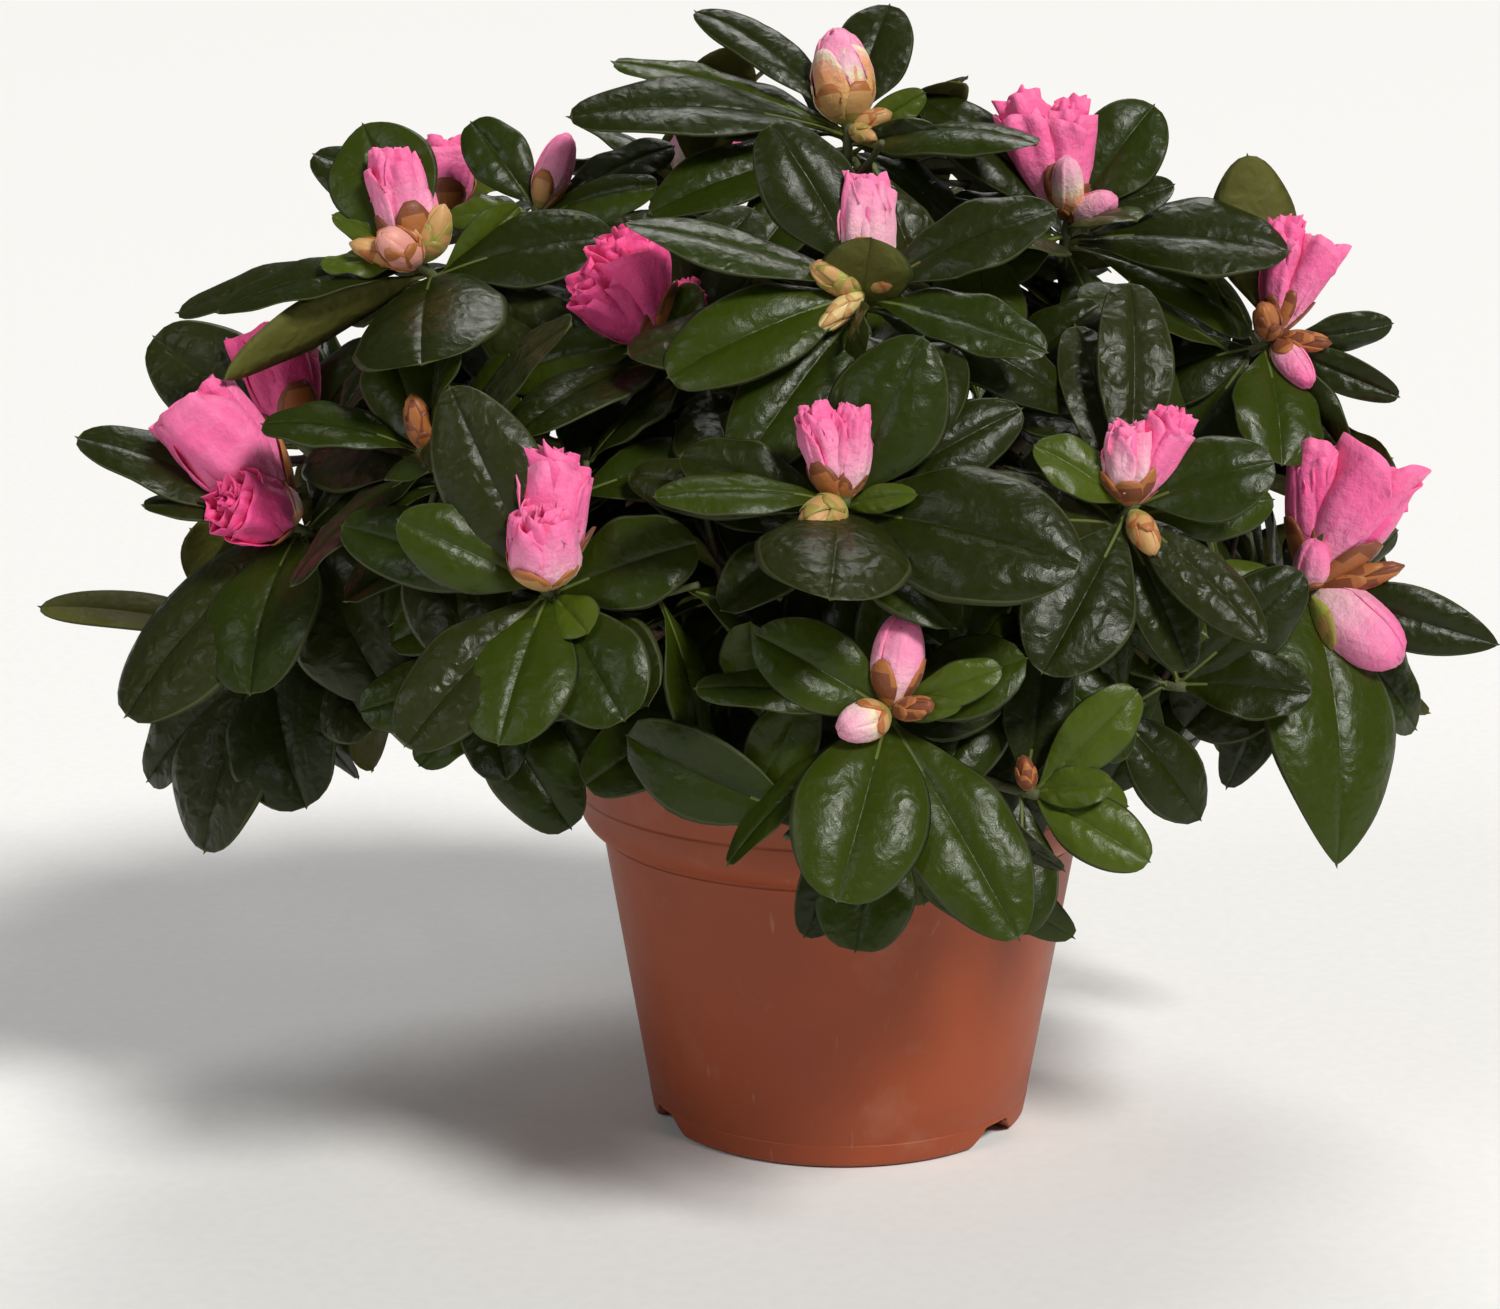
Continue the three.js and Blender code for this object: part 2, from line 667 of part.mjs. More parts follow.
function seenWay(hours, lean) {
  const clock = rad(hours * 30);
  const flat = add(mul(SEEN.right, Math.sin(clock)), mul(SEEN.up, Math.cos(clock)));
  return unit(add(mul(flat, Math.cos(rad(lean))), mul(SEEN.front, Math.sin(rad(lean)))));
}

function makeLeaf(spray, name, down, way, length, width, roll, bend, toFront) {
  const up = add(add(spray.axis, [0, 0, 0.35]), mul(SEEN.front, toFront));
  let face = unit(across(up, way));
  face = turnAbout(face, way, rad(roll));
  const root = downTwig(spray.twig, down);
  return { kind: "leaf", spray: name, mass: spray.mass, root, way, face, length, width, bend: rad(bend) };
}

function shownItems(name, spray) {
  const next = seeded(spray.seed * 31 + 7);
  const items = [];
  for (const [hours, lean, length, width, kind] of spray.buds) {
    const root = downTwig(spray.twig, 2);
    const way = seenWay(hours, lean);
    items.push({ kind, spray: name, mass: spray.mass, root, way, length: length + 1, width });
  }
  spray.leaves.forEach(([hours, lean, length, width, roll = 0], i) => {
    const bend = 18 + 22 * next();
    const wide = width * LEAF.broad;
    items.push(makeLeaf(spray, name, 1.5 + 0.7 * i, seenWay(hours, lean), length, wide, roll, bend, 1.3));
  });
  return items;
}

function ruleItems(name, spray) {
  const next = seeded(spray.seed * 77 + 3);
  const side = unit(across([0.9, 0.2, 0.4], spray.axis));
  const items = [];
  for (let i = 0; i < (spray.blooms || 0); i++) {
    const lean = turnAbout(side, spray.axis, rad(180 * i + 60 * next()));
    const way = unit(add(spray.axis, mul(lean, 0.35)));
    const kind = i === 0 ? "bloom" : "bud";
    const length = kind === "bloom" ? 22 + 6 * next() : 12 + 3 * next();
    const width = kind === "bloom" ? 12 + 5 * next() : 7 + next();
    const root = downTwig(spray.twig, 2);
    items.push({ kind, spray: name, mass: spray.mass, root, way, length, width });
  }
  const listed = spray.leaves.length;
  for (let i = 0; i < spray.more; i++) {
    const part = listed ? 0.6 + (0.4 * (i + 1)) / spray.more : (i + 1) / spray.more;
    const open = rad(WHORL.open + WHORL.spread * part + WHORL.wobble * (next() - 0.5));
    const lean = turnAbout(side, spray.axis, rad(GOLDEN * (i + listed) + WHORL.swing * next()));
    const fan = add(mul(spray.axis, Math.cos(open)), mul(lean, Math.sin(open)));
    const way = unit(add(fan, [0, 0, -WHORL.droop * part]));
    const start = listed ? WHORL.shortLength : WHORL.length;
    const length = start + WHORL.growth * part * (0.8 + 0.3 * next());
    const down = WHORL.down + WHORL.downStep * i + (listed ? 6 + 2 * i : 0);
    const width = length * (0.45 + 0.1 * next());
    const roll = WHORL.roll * (next() - 0.5);
    const bend = WHORL.bend + WHORL.bendSpread * next();
    items.push(makeLeaf(spray, name, down, way, length, width, roll, bend, 0));
  }
  return items;
}

function rodsOf(limbs, twigs) {
  const rods = [];
  for (const rod of [...Object.values(limbs).map((limb) => ({ ...limb, mass: null })), ...twigs]) {
    for (let i = 0; i + 1 < rod.points.length; i++) {
      rods.push({ a: rod.points[i], b: rod.points[i + 1], radius: rod.radii[i], mass: rod.mass });
    }
  }
  return rods;
}

// Buds find their places before leaves do, and what shows in front before what the rule adds.
function grow(sprays, limbs, twigs) {
  const rods = rodsOf(limbs, twigs);
  const placed = [];
  for (const [leaves, settleOne] of [[false, settleBud], [true, settle]]) {
    for (const itemsOf of [shownItems, ruleItems]) {
      for (const [name, spray] of Object.entries(sprays)) {
        const items = itemsOf(name, spray).filter((item) => (item.kind === "leaf") === leaves);
        for (const item of items) settleOne(item, placed, rods);
      }
    }
  }
  return placed;
}

function settleBud(item, placed, rods) {
  if (!clearOf(item, placed, rods)) return;
  item.body = solid(item, 0);
  placed.push(item);
}

// Solids.
function asSolid(positions, faces) {
  const vertProperties = new Float32Array(positions.flat());
  let volume = 0;
  for (const [a, b, c] of faces) volume += dot(positions[a], cross(positions[b], positions[c]));
  const turned = volume < 0 ? faces.map(([a, b, c]) => [a, c, b]) : faces;
  const triVerts = new Uint32Array(turned.flat());
  return new wasm.Manifold(new wasm.Mesh({ numProp: 3, vertProperties, triVerts }));
}

function solidOf(geometry) {
  geometry.deleteAttribute("normal");
  geometry.deleteAttribute("uv");
  const merged = mergeVertices(geometry, 1e-4);
  const place = merged.getAttribute("position");
  const positions = [];
  for (let i = 0; i < place.count; i++) positions.push([place.getX(i), place.getY(i), place.getZ(i)]);
  const faces = [];
  for (let i = 0; i < merged.index.count; i += 3) {
    const face = [merged.index.getX(i), merged.index.getX(i + 1), merged.index.getX(i + 2)];
    if (new Set(face).size === 3) faces.push(face);
  }
  return { positions, faces };
}

// A cylinder bent along a path, with a radius for each point of the path.
function rodSolid(points, radii, sides, extra = 0, start = null) {
  const steps = points.length - 1;
  const { positions, faces } = solidOf(new THREE.CylinderGeometry(1, 1, 1, sides, steps));
  const frames = [];
  let side = unit(across([0.31, 0.83, 0.27], unit(sub(points[1], points[0]))));
  for (let i = 0; i <= steps; i++) {
    const chord = unit(sub(points[Math.min(i + 1, steps)], points[Math.max(i - 1, 0)]));
    const way = i === 0 && start ? start : chord;
    side = unit(across(side, way));
    frames.push({ point: points[i], side, other: cross(way, side), way });
  }
  const bent = positions.map(([x, y, z]) => {
    const i = Math.round((y + 0.5) * steps);
    const { point, side: s, other, way } = frames[i];
    const end = i === 0 ? -extra : i === steps ? extra : 0;
    const r = radii[i] + extra;
    return add(add(add(point, mul(s, x * r)), mul(other, z * r)), mul(way, end));
  });
  return asSolid(bent, faces);
}

// Draws together points that lie closer than a hair, and turns the long edge of any sliver, so that
// every face of a fused form has a real area.
const HAIR = { limb: 0.1, foliage: 0.9 };
const SLIVER = 0.012;

function smoothFaces(points, faces, hair) {
  const around = points.map(() => new Set());
  const live = faces.map((f) => [...f]);
  live.forEach((f, k) => f.forEach((v) => around[v].add(k)));
  const normal = (a, b, c) => cross(sub(b, a), sub(c, a));
  const faceNormal = (f) => normal(points[f[0]], points[f[1]], points[f[2]]);
  const shared = (a, b) => [...around[a]].filter((k) => around[b].has(k));
  const others = (v) => new Set([...around[v]].flatMap((k) => live[k]).filter((w) => w !== v));

  function canMerge(keep, gone, target) {
    const common = [...others(keep)].filter((v) => others(gone).has(v));
    if (common.length !== 2 || shared(keep, gone).length !== 2) return false;
    for (const v of [keep, gone]) {
      for (const k of around[v]) {
        const f = live[k];
        if (f.includes(keep) && f.includes(gone)) continue;
        const before = faceNormal(f);
        const after = normal(...f.map((w) => (w === v ? target : points[w])));
        const turned = size(before) > 1e-3 && dot(before, after) < 0.6 * size(before) * size(after);
        if (turned || size(after) < 1e-5) return false;
      }
    }
    return true;
  }

  function merge(keep, gone, target) {
    for (const k of shared(keep, gone)) {
      live[k].forEach((v) => around[v].delete(k));
      live[k] = null;
    }
    for (const k of around[gone]) {
      live[k] = live[k].map((v) => (v === gone ? keep : v));
      around[keep].add(k);
    }
    around[gone].clear();
    points[keep] = target;
  }

  for (let round = 0; round < 12; round++) {
    let changed = false;
    const edges = [];
    live.forEach((f) => f && f.forEach((a, i) => a < f[(i + 1) % 3] && edges.push([a, f[(i + 1) % 3]])));
    edges.sort((p, q) => size(sub(points[p[0]], points[p[1]])) - size(sub(points[q[0]], points[q[1]])));
    for (const [a, b] of edges) {
      const gap = size(sub(points[a], points[b]));
      if (gap > hair || !shared(a, b).length) continue;
      const choices = [points[a], points[b], mix(points[a], points[b], 0.5)];
      const target = choices.find((choice) => canMerge(a, b, choice));
      if (!target) continue;
      merge(a, b, [...target]);
      changed = true;
    }
    live.forEach((f, k) => {
      if (!f) return;
      const lengths = f.map((a, i) => size(sub(points[a], points[f[(i + 1) % 3]])));
      const long = lengths.indexOf(Math.max(...lengths));
      if (size(faceNormal(f)) / lengths[long] > SLIVER) return;
      const [a, b, c] = [f[long], f[(long + 1) % 3], f[(long + 2) % 3]];
      const twin = shared(a, b).find((j) => j !== k);
      if (twin === undefined) return;
      const d = live[twin].find((v) => v !== a && v !== b);
      if (c === d || shared(c, d).length) return;
      const twinNormal = faceNormal(live[twin]);
      const made = [[a, d, c], [d, b, c]];
      if (made.some((g) => dot(faceNormal(g), twinNormal) <= 0)) return;
      [k, twin].forEach((j) => live[j].forEach((v) => around[v].delete(j)));
      [live[k], live[twin]] = made;
      [k, twin].forEach((j) => live[j].forEach((v) => around[v].add(j)));
      changed = true;
    });
    if (!changed) break;
  }
  return live.filter((f) => f);
}

function geometryOf(shape, hair = HAIR.limb) {
  const mesh = shape.getMesh();
  const geometry = new THREE.BufferGeometry();
  const wide = mesh.numProp;
  const points = [];
  for (let i = 0; i < mesh.vertProperties.length; i += wide) {
    points.push([...mesh.vertProperties.slice(i, i + 3)]);
  }
  const faces = [];
  for (let i = 0; i < mesh.triVerts.length; i += 3) faces.push([...mesh.triVerts.slice(i, i + 3)]);
  const kept = smoothFaces(points, faces, hair);
  geometry.setAttribute("position", new THREE.Float32BufferAttribute(points.flat(), 3));
  geometry.setIndex(kept.flat());
  return largestPiece(geometry);
}

// Keeps the largest closed piece, so loose scraps and sealed hollows go.
function largestPiece(geometry) {
  const position = geometry.getAttribute("position");
  const index = geometry.index;
  const owner = Array.from({ length: position.count }, (_, i) => i);
  const find = (i) => {
    while (owner[i] !== i) i = owner[i] = owner[owner[i]];
    return i;
  };
  for (let i = 0; i < index.count; i += 3) {
    owner[find(index.getX(i))] = find(index.getX(i + 1));
    owner[find(index.getX(i + 1))] = find(index.getX(i + 2));
  }
  const volumes = new Map();
  const point = (i) => [position.getX(i), position.getY(i), position.getZ(i)];
  for (let i = 0; i < index.count; i += 3) {
    const [a, b, c] = [0, 1, 2].map((j) => point(index.getX(i + j)));
    const root = find(index.getX(i));
    volumes.set(root, (volumes.get(root) || 0) + dot(a, cross(b, c)) / 6);
  }
  const [best] = [...volumes.entries()].sort((a, b) => b[1] - a[1])[0];
  const kept = [];
  const renumber = new Map();
  const places = [];
  for (let i = 0; i < index.count; i++) {
    const v = index.getX(i);
    if (find(v) !== best) continue;
    if (!renumber.has(v)) {
      renumber.set(v, renumber.size);
      places.push(...point(v));
    }
    kept.push(renumber.get(v));
  }
  const clean = new THREE.BufferGeometry();
  clean.setAttribute("position", new THREE.Float32BufferAttribute(places, 3));
  clean.setIndex(kept);
  clean.computeVertexNormals();
  return clean;
}

// Pot.
// The wall's shoulder is a quarter of an oval between the wall's top and the upright band under the rim.
const SHOULDER_STEPS = 3;

function shoulderProfile(inset) {
  const shoulder = [];
  for (let i = 0; i <= SHOULDER_STEPS; i++) {
    const a = rad((90 * i) / SHOULDER_STEPS);
    const out = POT.wallTop + (POT.rim - POT.wallTop) * Math.sin(a);
    const z = POT.wallTopZ + (POT.shoulderZ - POT.wallTopZ) * (1 - Math.cos(a));
    shoulder.push([out - inset, z + inset * 0.35]);
  }
  return shoulder;
}

// A closed turned form from a profile of [radius, height] points.
function turned(profile) {
  const points = profile.map(([r, z]) => new THREE.Vector2(r, z));
  const { positions, faces } = solidOf(new THREE.LatheGeometry(points, ROUND));
  return asSolid(positions.map(([x, y, z]) => [x, -z, y]), faces);
}

function potSolid() {
  const inner = POT.rim - POT.wall;
  const floorEdge = POT.foot - POT.wall;
  const base = [[0, 0], [POT.foot - 1.6, 0], [POT.foot, 1.4]];
  const lip = [[POT.rim, POT.height - 0.6], [POT.rim - 0.5, POT.height], [inner + 0.3, POT.height]];
  const inside = [[inner, POT.height - 0.4], ...shoulderProfile(POT.wall).reverse()];
  const floor = [[floorEdge + 0.1, POT.floor + 0.8], [floorEdge - 1, POT.floor], [0, POT.floor]];
  let shape = turned([...base, ...shoulderProfile(0), ...lip, ...inside, ...floor]);
  for (let i = 0; i < DRAIN.count; i++) {
    shape = shape.subtract(drainCut(DRAIN.firstTurn + (360 / DRAIN.count) * i));
  }
  return shape;
}

// A notch in the foot, wide at the bottom, that lets water out at the side.
function drainCut(turn) {
  const outline = new THREE.Shape();
  outline.moveTo(-DRAIN.width / 2, -1);
  outline.lineTo(DRAIN.width / 2, -1);
  outline.lineTo(DRAIN.width / 2, 0);
  outline.lineTo(DRAIN.topWidth / 2, DRAIN.height);
  outline.lineTo(-DRAIN.topWidth / 2, DRAIN.height);
  outline.lineTo(-DRAIN.width / 2, 0);
  const cut = new THREE.ExtrudeGeometry(outline, { depth: DRAIN.depth, bevelEnabled: false });
  const { positions, faces } = solidOf(cut);
  const start = POT.foot - DRAIN.depth + 2;
  const out = [Math.sin(rad(turn)), -Math.cos(rad(turn)), 0];
  const aside = [-out[1], out[0], 0];
  const placed = positions.map(([x, y, z]) => add(add(mul(aside, x), mul(out, start + z)), [0, 0, y]));
  return asSolid(placed, faces);
}

function soilSolid() {
  const inset = POT.wall + SOIL.gap;
  const edge = POT.rim - inset;
  const bottom = POT.floor + GAP;
  const foot = [[0, bottom], [POT.foot - inset - 1.2, bottom], [POT.foot - inset, POT.floor + 1.2]];
  const wall = shoulderProfile(inset).filter(([, z]) => z < SOIL.top - 1);
  return turned([...foot, ...wall, [edge, SOIL.top - 0.6], [edge - 2, SOIL.top], [0, SOIL.top]]);
}

// Assembly.
function material(name, colour, roughness) {
  return new THREE.MeshStandardMaterial({ name, color: colour, roughness, metalness: 0 });
}

function addPiece(group, name, geometry, colour, roughness) {
  const mesh = new THREE.Mesh(geometry, material(name, colour, roughness));
  mesh.name = name;
  group.add(mesh);
}

function joined(solids) {
  return solids.reduce((sum, piece) => sum.add(piece));
}

function build() {
  const plant = new THREE.Group();
  const { sprays, limbs, twigs } = skeleton();
  const placed = grow(sprays, limbs, twigs);
  addPiece(plant, "pot", geometryOf(potSolid()), COLOURS.pot, 0.5);
  addPiece(plant, "soil", geometryOf(soilSolid()), COLOURS.soil, 0.95);
  const made = [];
  for (const [name, limb] of Object.entries(limbs)) {
    const start = name === "trunk" ? [0, 0, 1] : null;
    let body = rodSolid(limb.points, limb.radii, limb.sides, 0, start);
    for (const earlier of made) body = body.subtract(earlier.grown);
    made.push({ name, grown: rodSolid(limb.points, limb.radii, limb.sides, GAP * 1.2) });
    addPiece(plant, name, geometryOf(body), COLOURS.bark, 0.85);
  }
  for (const mass of Object.keys(MASSES)) {
    const ownTwigs = twigs.filter((twig) => twig.mass === mass);
    const ownItems = placed.filter((item) => item.mass === mass);
    const rods = ownTwigs.map((twig) => rodSolid(twig.points, twig.radii, TWIG.sides));
    const whole = joined([...rods, ...ownItems.map(({ body }) => asSolid(body.points, body.faces))]);
    addPiece(plant, mass, geometryOf(whole, HAIR.foliage), COLOURS.leaf, 0.45);
  }
  return plant;
}

export default build();
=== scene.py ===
"""Looks for a young azalea in a round nursery pot: leaves, blooms, bark, peat, pot, light and camera.

The shoots follow the same rule and the same sizes as the solids that they stand for. Sizes are in
millimetres until a mesh is made, which is in metres.
"""
import math
import bpy
import numpy as np
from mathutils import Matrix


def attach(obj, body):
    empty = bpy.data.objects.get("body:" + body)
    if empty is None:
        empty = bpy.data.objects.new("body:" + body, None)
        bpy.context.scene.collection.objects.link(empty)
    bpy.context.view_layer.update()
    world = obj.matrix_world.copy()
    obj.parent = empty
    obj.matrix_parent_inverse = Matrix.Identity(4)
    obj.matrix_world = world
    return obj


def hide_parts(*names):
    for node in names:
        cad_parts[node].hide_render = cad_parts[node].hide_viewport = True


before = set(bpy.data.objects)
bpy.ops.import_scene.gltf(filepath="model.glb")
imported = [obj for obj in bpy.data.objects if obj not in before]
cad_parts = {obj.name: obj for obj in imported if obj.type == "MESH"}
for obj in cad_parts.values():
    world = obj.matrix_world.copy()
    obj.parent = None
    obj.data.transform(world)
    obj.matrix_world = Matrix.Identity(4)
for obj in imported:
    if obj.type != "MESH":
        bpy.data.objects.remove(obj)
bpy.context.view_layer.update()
MM = 0.001

# Sizes shared with the solids.
POT = dict(foot=43.1, wallTop=54.3, wallTopZ=67.5, shoulderZ=76.6, rim=60, height=89.7, wall=1.3, floor=1.8)
DRAIN = dict(count=3, firstTurn=53.6, width=18, topWidth=9.5, height=4.5, depth=12)
SOIL = dict(top=79, gap=0.35)
GAP = 0.3
TRUNK = dict(flare=8.2, foot=5.6, tip=4.4, top=103, lean=(-5, 3), topWay=(-0.35, 0.1, 1), steps=5)
LIMB = dict(base=3.3, sideBase=2.5, tip=1.8, reach=0.5, turn=0.7, steps=4)
STEM = dict(base=1.7, tip=1.45, reach=0.45, steps=2)
TWIG = dict(base=1.45, tip=1.15, turn=0.65, firstJoin=0.97, join=0.55, joinSpread=0.4, steps=3)
HEART = (-12, 0, 105)
REACH = (122, 112, 118)
LOWEST = 40
RISING = 0.25
VIEW_TILT = 12.3
LEAF = dict(fold=0.1, clear=0.8, broad=1.1)
# How far a leaf stays from the pot, and from the limbs and twigs of the other masses.
POT_CLEAR = dict(up=1, out=1.2)
ROD_CLEAR = 0.4
# A plain leaf's two rings: place along it, share of its width, and thickness.
LEAF_RINGS = ((0.32, 0.86, 1.35), (0.75, 0.92, 1.0))
BUD_SIDES = 5
BUD_RINGS = {"bud": (0.3, 0.7), "bloom": (0.34, 0.9)}
GOLDEN = 137.508
JOIN = 2
WHORL = dict(open=32, spread=66, wobble=12, swing=24, droop=0.14, length=30, shortLength=27, growth=26,
             down=1.5, downStep=1.1, roll=16, bend=22, bendSpread=22)


# Each spray is a whorl of leaves round a shoot tip: where the tip is, how many leaves the rule adds, the
# listed leaves, and the listed buds. A leaf is (clock hour, lean to the front in degrees, length, width,
# roll in degrees), as the plant is seen from the front and a little above. A bud or bloom is (clock hour,
# lean, length, width, kind).
def whorl(at, more, leaves=(), buds=()):
    return dict(at=at, more=more, leaves=leaves, buds=buds)


SPRAYS = {
    "crest": whorl((1, -5, 227), 2, [
        (0.6, -15, 31, 16), (10.35, -15, 46, 14, 12), (9.6, -5, 55, 14, 12), (9.08, 8, 62, 20, 10),
        (9.3, -25, 41, 14), (1.95, 5, 20, 7, 40), (3, 40, 25, 8, 60), (8.35, 15, 48, 16),
        (4.15, 10, 30, 14), (7.3, 25, 40, 16),
    ], [(11.75, 0, 21, 12.5, "bloom"), (2.4, 10, 9, 5, "bud"), (4, 40, 8, 4.5, "bud")]),
    "shelf": whorl((-68, 0, 208), 3, [
        (10.8, -10, 26, 13), (2.1, 0, 34, 13), (9, 5, 20, 12), (2.6, 25, 30, 14), (7, 20, 30, 14),
        (5, 25, 32, 15),
    ], [(0.7, 0, 18, 8, "bloom")]),
    "upleft": whorl((-92, -28, 199), 0, [
        (11.25, -10, 34, 22), (10, 0, 22, 7, 12), (9, 10, 22, 8, 12), (8.6, 0, 46, 14, 14),
        (8.75, -12, 58, 15, 20), (8.04, 10, 50, 11, 106), (5.9, 60, 44, 31), (2.6, 5, 40, 20),
        (1.6, -5, 24, 9, 60), (4.05, 12, 57, 25),
    ], [
        (11.5, 0, 25, 13, "bloom"), (11.9, 25, 12, 6, "bud"), (0.8, 15, 13, 8, "bud"),
        (10.2, 50, 13, 9, "bud"), (9.5, 20, 15, 6, "bud"),
    ]),
    "peek": whorl((-90, 22, 204), 6, [(9.9, -10, 36, 16), (1.2, -20, 22, 12)], [
        (11.9, 0, 18, 13, "bloom"),
    ]),
    "recess": whorl((-42, -48, 185), 7, [
        (3.6, 10, 34, 15), (8.3, -20, 34, 15), (1.45, 35, 17, 12), (1.1, -15, 38, 18),
    ], [(11.4, 15, 24, 16, "bloom"), (10.4, 25, 21, 13, "bloom"), (1.3, -10, 15, 8, "bloom")]),
    "brow": whorl((3, -66, 198), 1, [
        (11, 0, 39, 19), (9.5, 5, 51, 17, 25), (8.2, 12, 45, 19), (2.2, 5, 43, 15), (3.6, 15, 40, 13),
        (6.1, 60, 25, 9, 70), (7.2, 20, 48, 19), (3.8, -5, 49, 15), (0.2, 50, 20, 17),
    ], [
        (0, 0, 23, 12, "bloom"), (9.7, 20, 12, 7, "bud"), (1.9, 25, 9, 6, "bud"),
        (7.6, 25, 14, 5, "bud"),
    ]),
    "brink": whorl((49, -8, 207), 3, [
        (10.35, -5, 50, 22), (1.2, -5, 33, 18), (2.3, 5, 25, 10), (11.6, -30, 29, 14), (3, 60, 26, 14),
        (8.2, 25, 32, 14), (9.7, 5, 31, 9), (3.12, 10, 49, 23), (3.75, -8, 47, 16), (5.4, 10, 34, 16),
        (9.6, -15, 38, 17),
    ], [
        (11.2, 0, 29, 12.5, "bloom"), (11.95, 5, 26, 12, "bloom"), (11.8, 35, 15, 7, "bud"),
        (2.2, 35, 12, 7, "bud"),
    ]),
    "shoulder": whorl((95, -14, 181), 2, [
        (11.75, 5, 41, 18, 160), (2.75, 0, 27, 8, 50), (3.8, 5, 31, 8, 50), (4.85, 5, 30, 11, 60),
        (5.9, 32, 38, 24), (9.8, 5, 28, 9, 60), (8.4, -5, 34, 17), (7.2, 0, 36, 17),
    ], [
        (0.25, 0, 27, 9, "bloom"), (0.95, 5, 25, 9, "bloom"), (11, 55, 12, 6.5, "bud"),
        (3.2, 20, 12, 5, "bud"), (4.9, 30, 14, 7, "bud"),
    ]),
    "flank": whorl((57, -78, 155), 1, [
        (2.4, 8, 30, 17), (10.1, 10, 24, 12), (4.5, 15, 39, 13), (7, 27, 42, 21), (0.1, -15, 51, 15),
        (11.55, -25, 44, 14), (2.75, -15, 34, 14), (5.2, 5, 34, 13), (9.9, -5, 26, 9, 60),
    ], [(11.9, 10, 17, 11, "bloom"), (0.85, 5, 22, 10, "bloom"), (5.2, 30, 11, 6, "bud")]),
    "centre": whorl((-2, -98, 159), 0, [
        (9.05, 10, 38, 12, 30), (0.85, 0, 37, 22), (1.15, -20, 43, 18), (2.7, 30, 17, 6),
        (3.45, 18, 50, 27), (6.3, 64, 40, 28), (2, -8, 43, 15), (9.7, -5, 34, 14), (9.4, -18, 53, 14),
    ], [(11.4, 5, 20, 9, "bloom"), (0.2, 5, 19, 8.5, "bloom"), (7.9, 45, 12.5, 8.5, "bud")]),
    "port": whorl((-61, -96, 141), 0, [
        (11.15, 0, 45, 20), (9.85, 8, 33, 15), (7.4, 18, 43, 18), (6.55, 30, 36, 21), (4.95, 30, 34, 20),
        (4.5, 45, 16, 10), (2.35, 5, 31, 18), (9.6, -18, 49, 15),
    ], [(0.1, 0, 28, 15, "bloom"), (11.9, 30, 18, 14, "bud")]),
    "left": whorl((-120, -34, 143), 0, [
        (9.78, 5, 50, 16, 30), (9.3, 15, 33, 12, 40), (7.4, 8, 55, 27), (6.45, 27, 41, 26),
        (5.05, 15, 42, 25), (1.8, 5, 28, 13),
    ], [(10.7, 10, 37, 20, "bloom"), (9.8, 42, 20, 16, "bloom"), (11.6, 40, 10, 6, "bud")]),
    "backleft": whorl((-123, 6, 155), 6, [(10.2, -8, 43, 22), (8.7, -10, 40, 15), (1.1, 0, 30, 18)], [
        (11.5, 0, 28, 18, "bloom"),
    ]),
    "lowleft": whorl((-128, -18, 111), 3, [
        (6.62, 5, 47, 26), (5.5, 25, 39, 27), (4.9, 5, 34, 12, 40), (9.34, -5, 56, 15, 45),
        (7.6, -15, 46, 18),
    ]),
    "lowmidleft": whorl((-77, -58, 112), 0, [
        (4.95, 15, 36, 18), (4.3, 5, 31, 14), (5.6, 40, 26, 15), (7.4, 10, 24, 12), (8.6, 5, 30, 15),
        (2, 5, 32, 15),
    ]),
    "nookleft": whorl((-89, -56, 163), 8, [], [(11.6, 20, 12, 6, "bud")]),
    "lowmid": whorl((-27, -78, 117), 0, [
        (6.6, 20, 24, 13), (4.95, 20, 34, 15), (5.9, 35, 26, 13), (7.9, 10, 36, 16),
    ]),
    "nookmid": whorl((-31, -72, 136), 6, [(7.65, 20, 33, 9, 70)]),
    "nookhigh": whorl((30, -48, 170), 8),
    "nookright": whorl((32, -74, 126), 8),
    "ledge": whorl((71, -56, 112), 0, [
        (11.2, 10, 32, 15), (1.6, 5, 36, 16), (9.4, 10, 32, 15), (3.1, 10, 30, 14), (8, 20, 26, 13),
        (0.4, -10, 36, 16), (6.9, -5, 26, 14),
    ]),
    "low": whorl((7, -108, 119), 0, [
        (10, 5, 31, 16), (9.25, 5, 39, 10, 30), (2.25, 10, 24, 8), (2.8, 30, 16, 5),
        (7.6, 10, 44, 10, 50), (6.55, 27, 42, 25), (5, 15, 52, 21), (4.4, 0, 47, 9, 60),
    ], [(0.25, 5, 19, 10, "bloom"), (8.4, 35, 12, 8, "bud"), (2.6, 40, 10, 5, "bud")]),
    "hem": whorl((6, -84, 95), 1, [
        (6.95, 8, 33, 13), (6.3, 12, 33, 19), (5.25, 5, 25, 12), (4.65, 0, 36, 13),
        (4.25, -5, 52, 12, 30),
    ]),
    "lowright": whorl((37, -92, 98), 0, [
        (1.5, 5, 30, 12), (4, 10, 28, 13), (2.8, 20, 18, 8), (0.3, -10, 32, 14), (6.1, 15, 30, 15),
        (3.3, -15, 24, 13),
    ], [(11.6, 10, 7, 4.5, "bud")]),
    "right": whorl((101, -36, 129), 0, [
        (3.55, 5, 42, 13, 30), (5.87, 15, 61, 31), (7.45, 18, 43, 24), (6.7, 0, 46, 14),
        (5.05, 5, 34, 11, 25), (9.2, 10, 22, 12), (2, -5, 27, 8, 50), (1, 35, 18, 8), (4.5, -12, 43, 20),
    ], [
        (0.1, 0, 32, 12, "bloom"), (1, 5, 34, 18, "bloom"), (0, 35, 12, 8, "bud"),
        (2.5, 15, 20, 6, "bud"), (4.3, 12, 24, 15, "bloom"),
    ]),
}

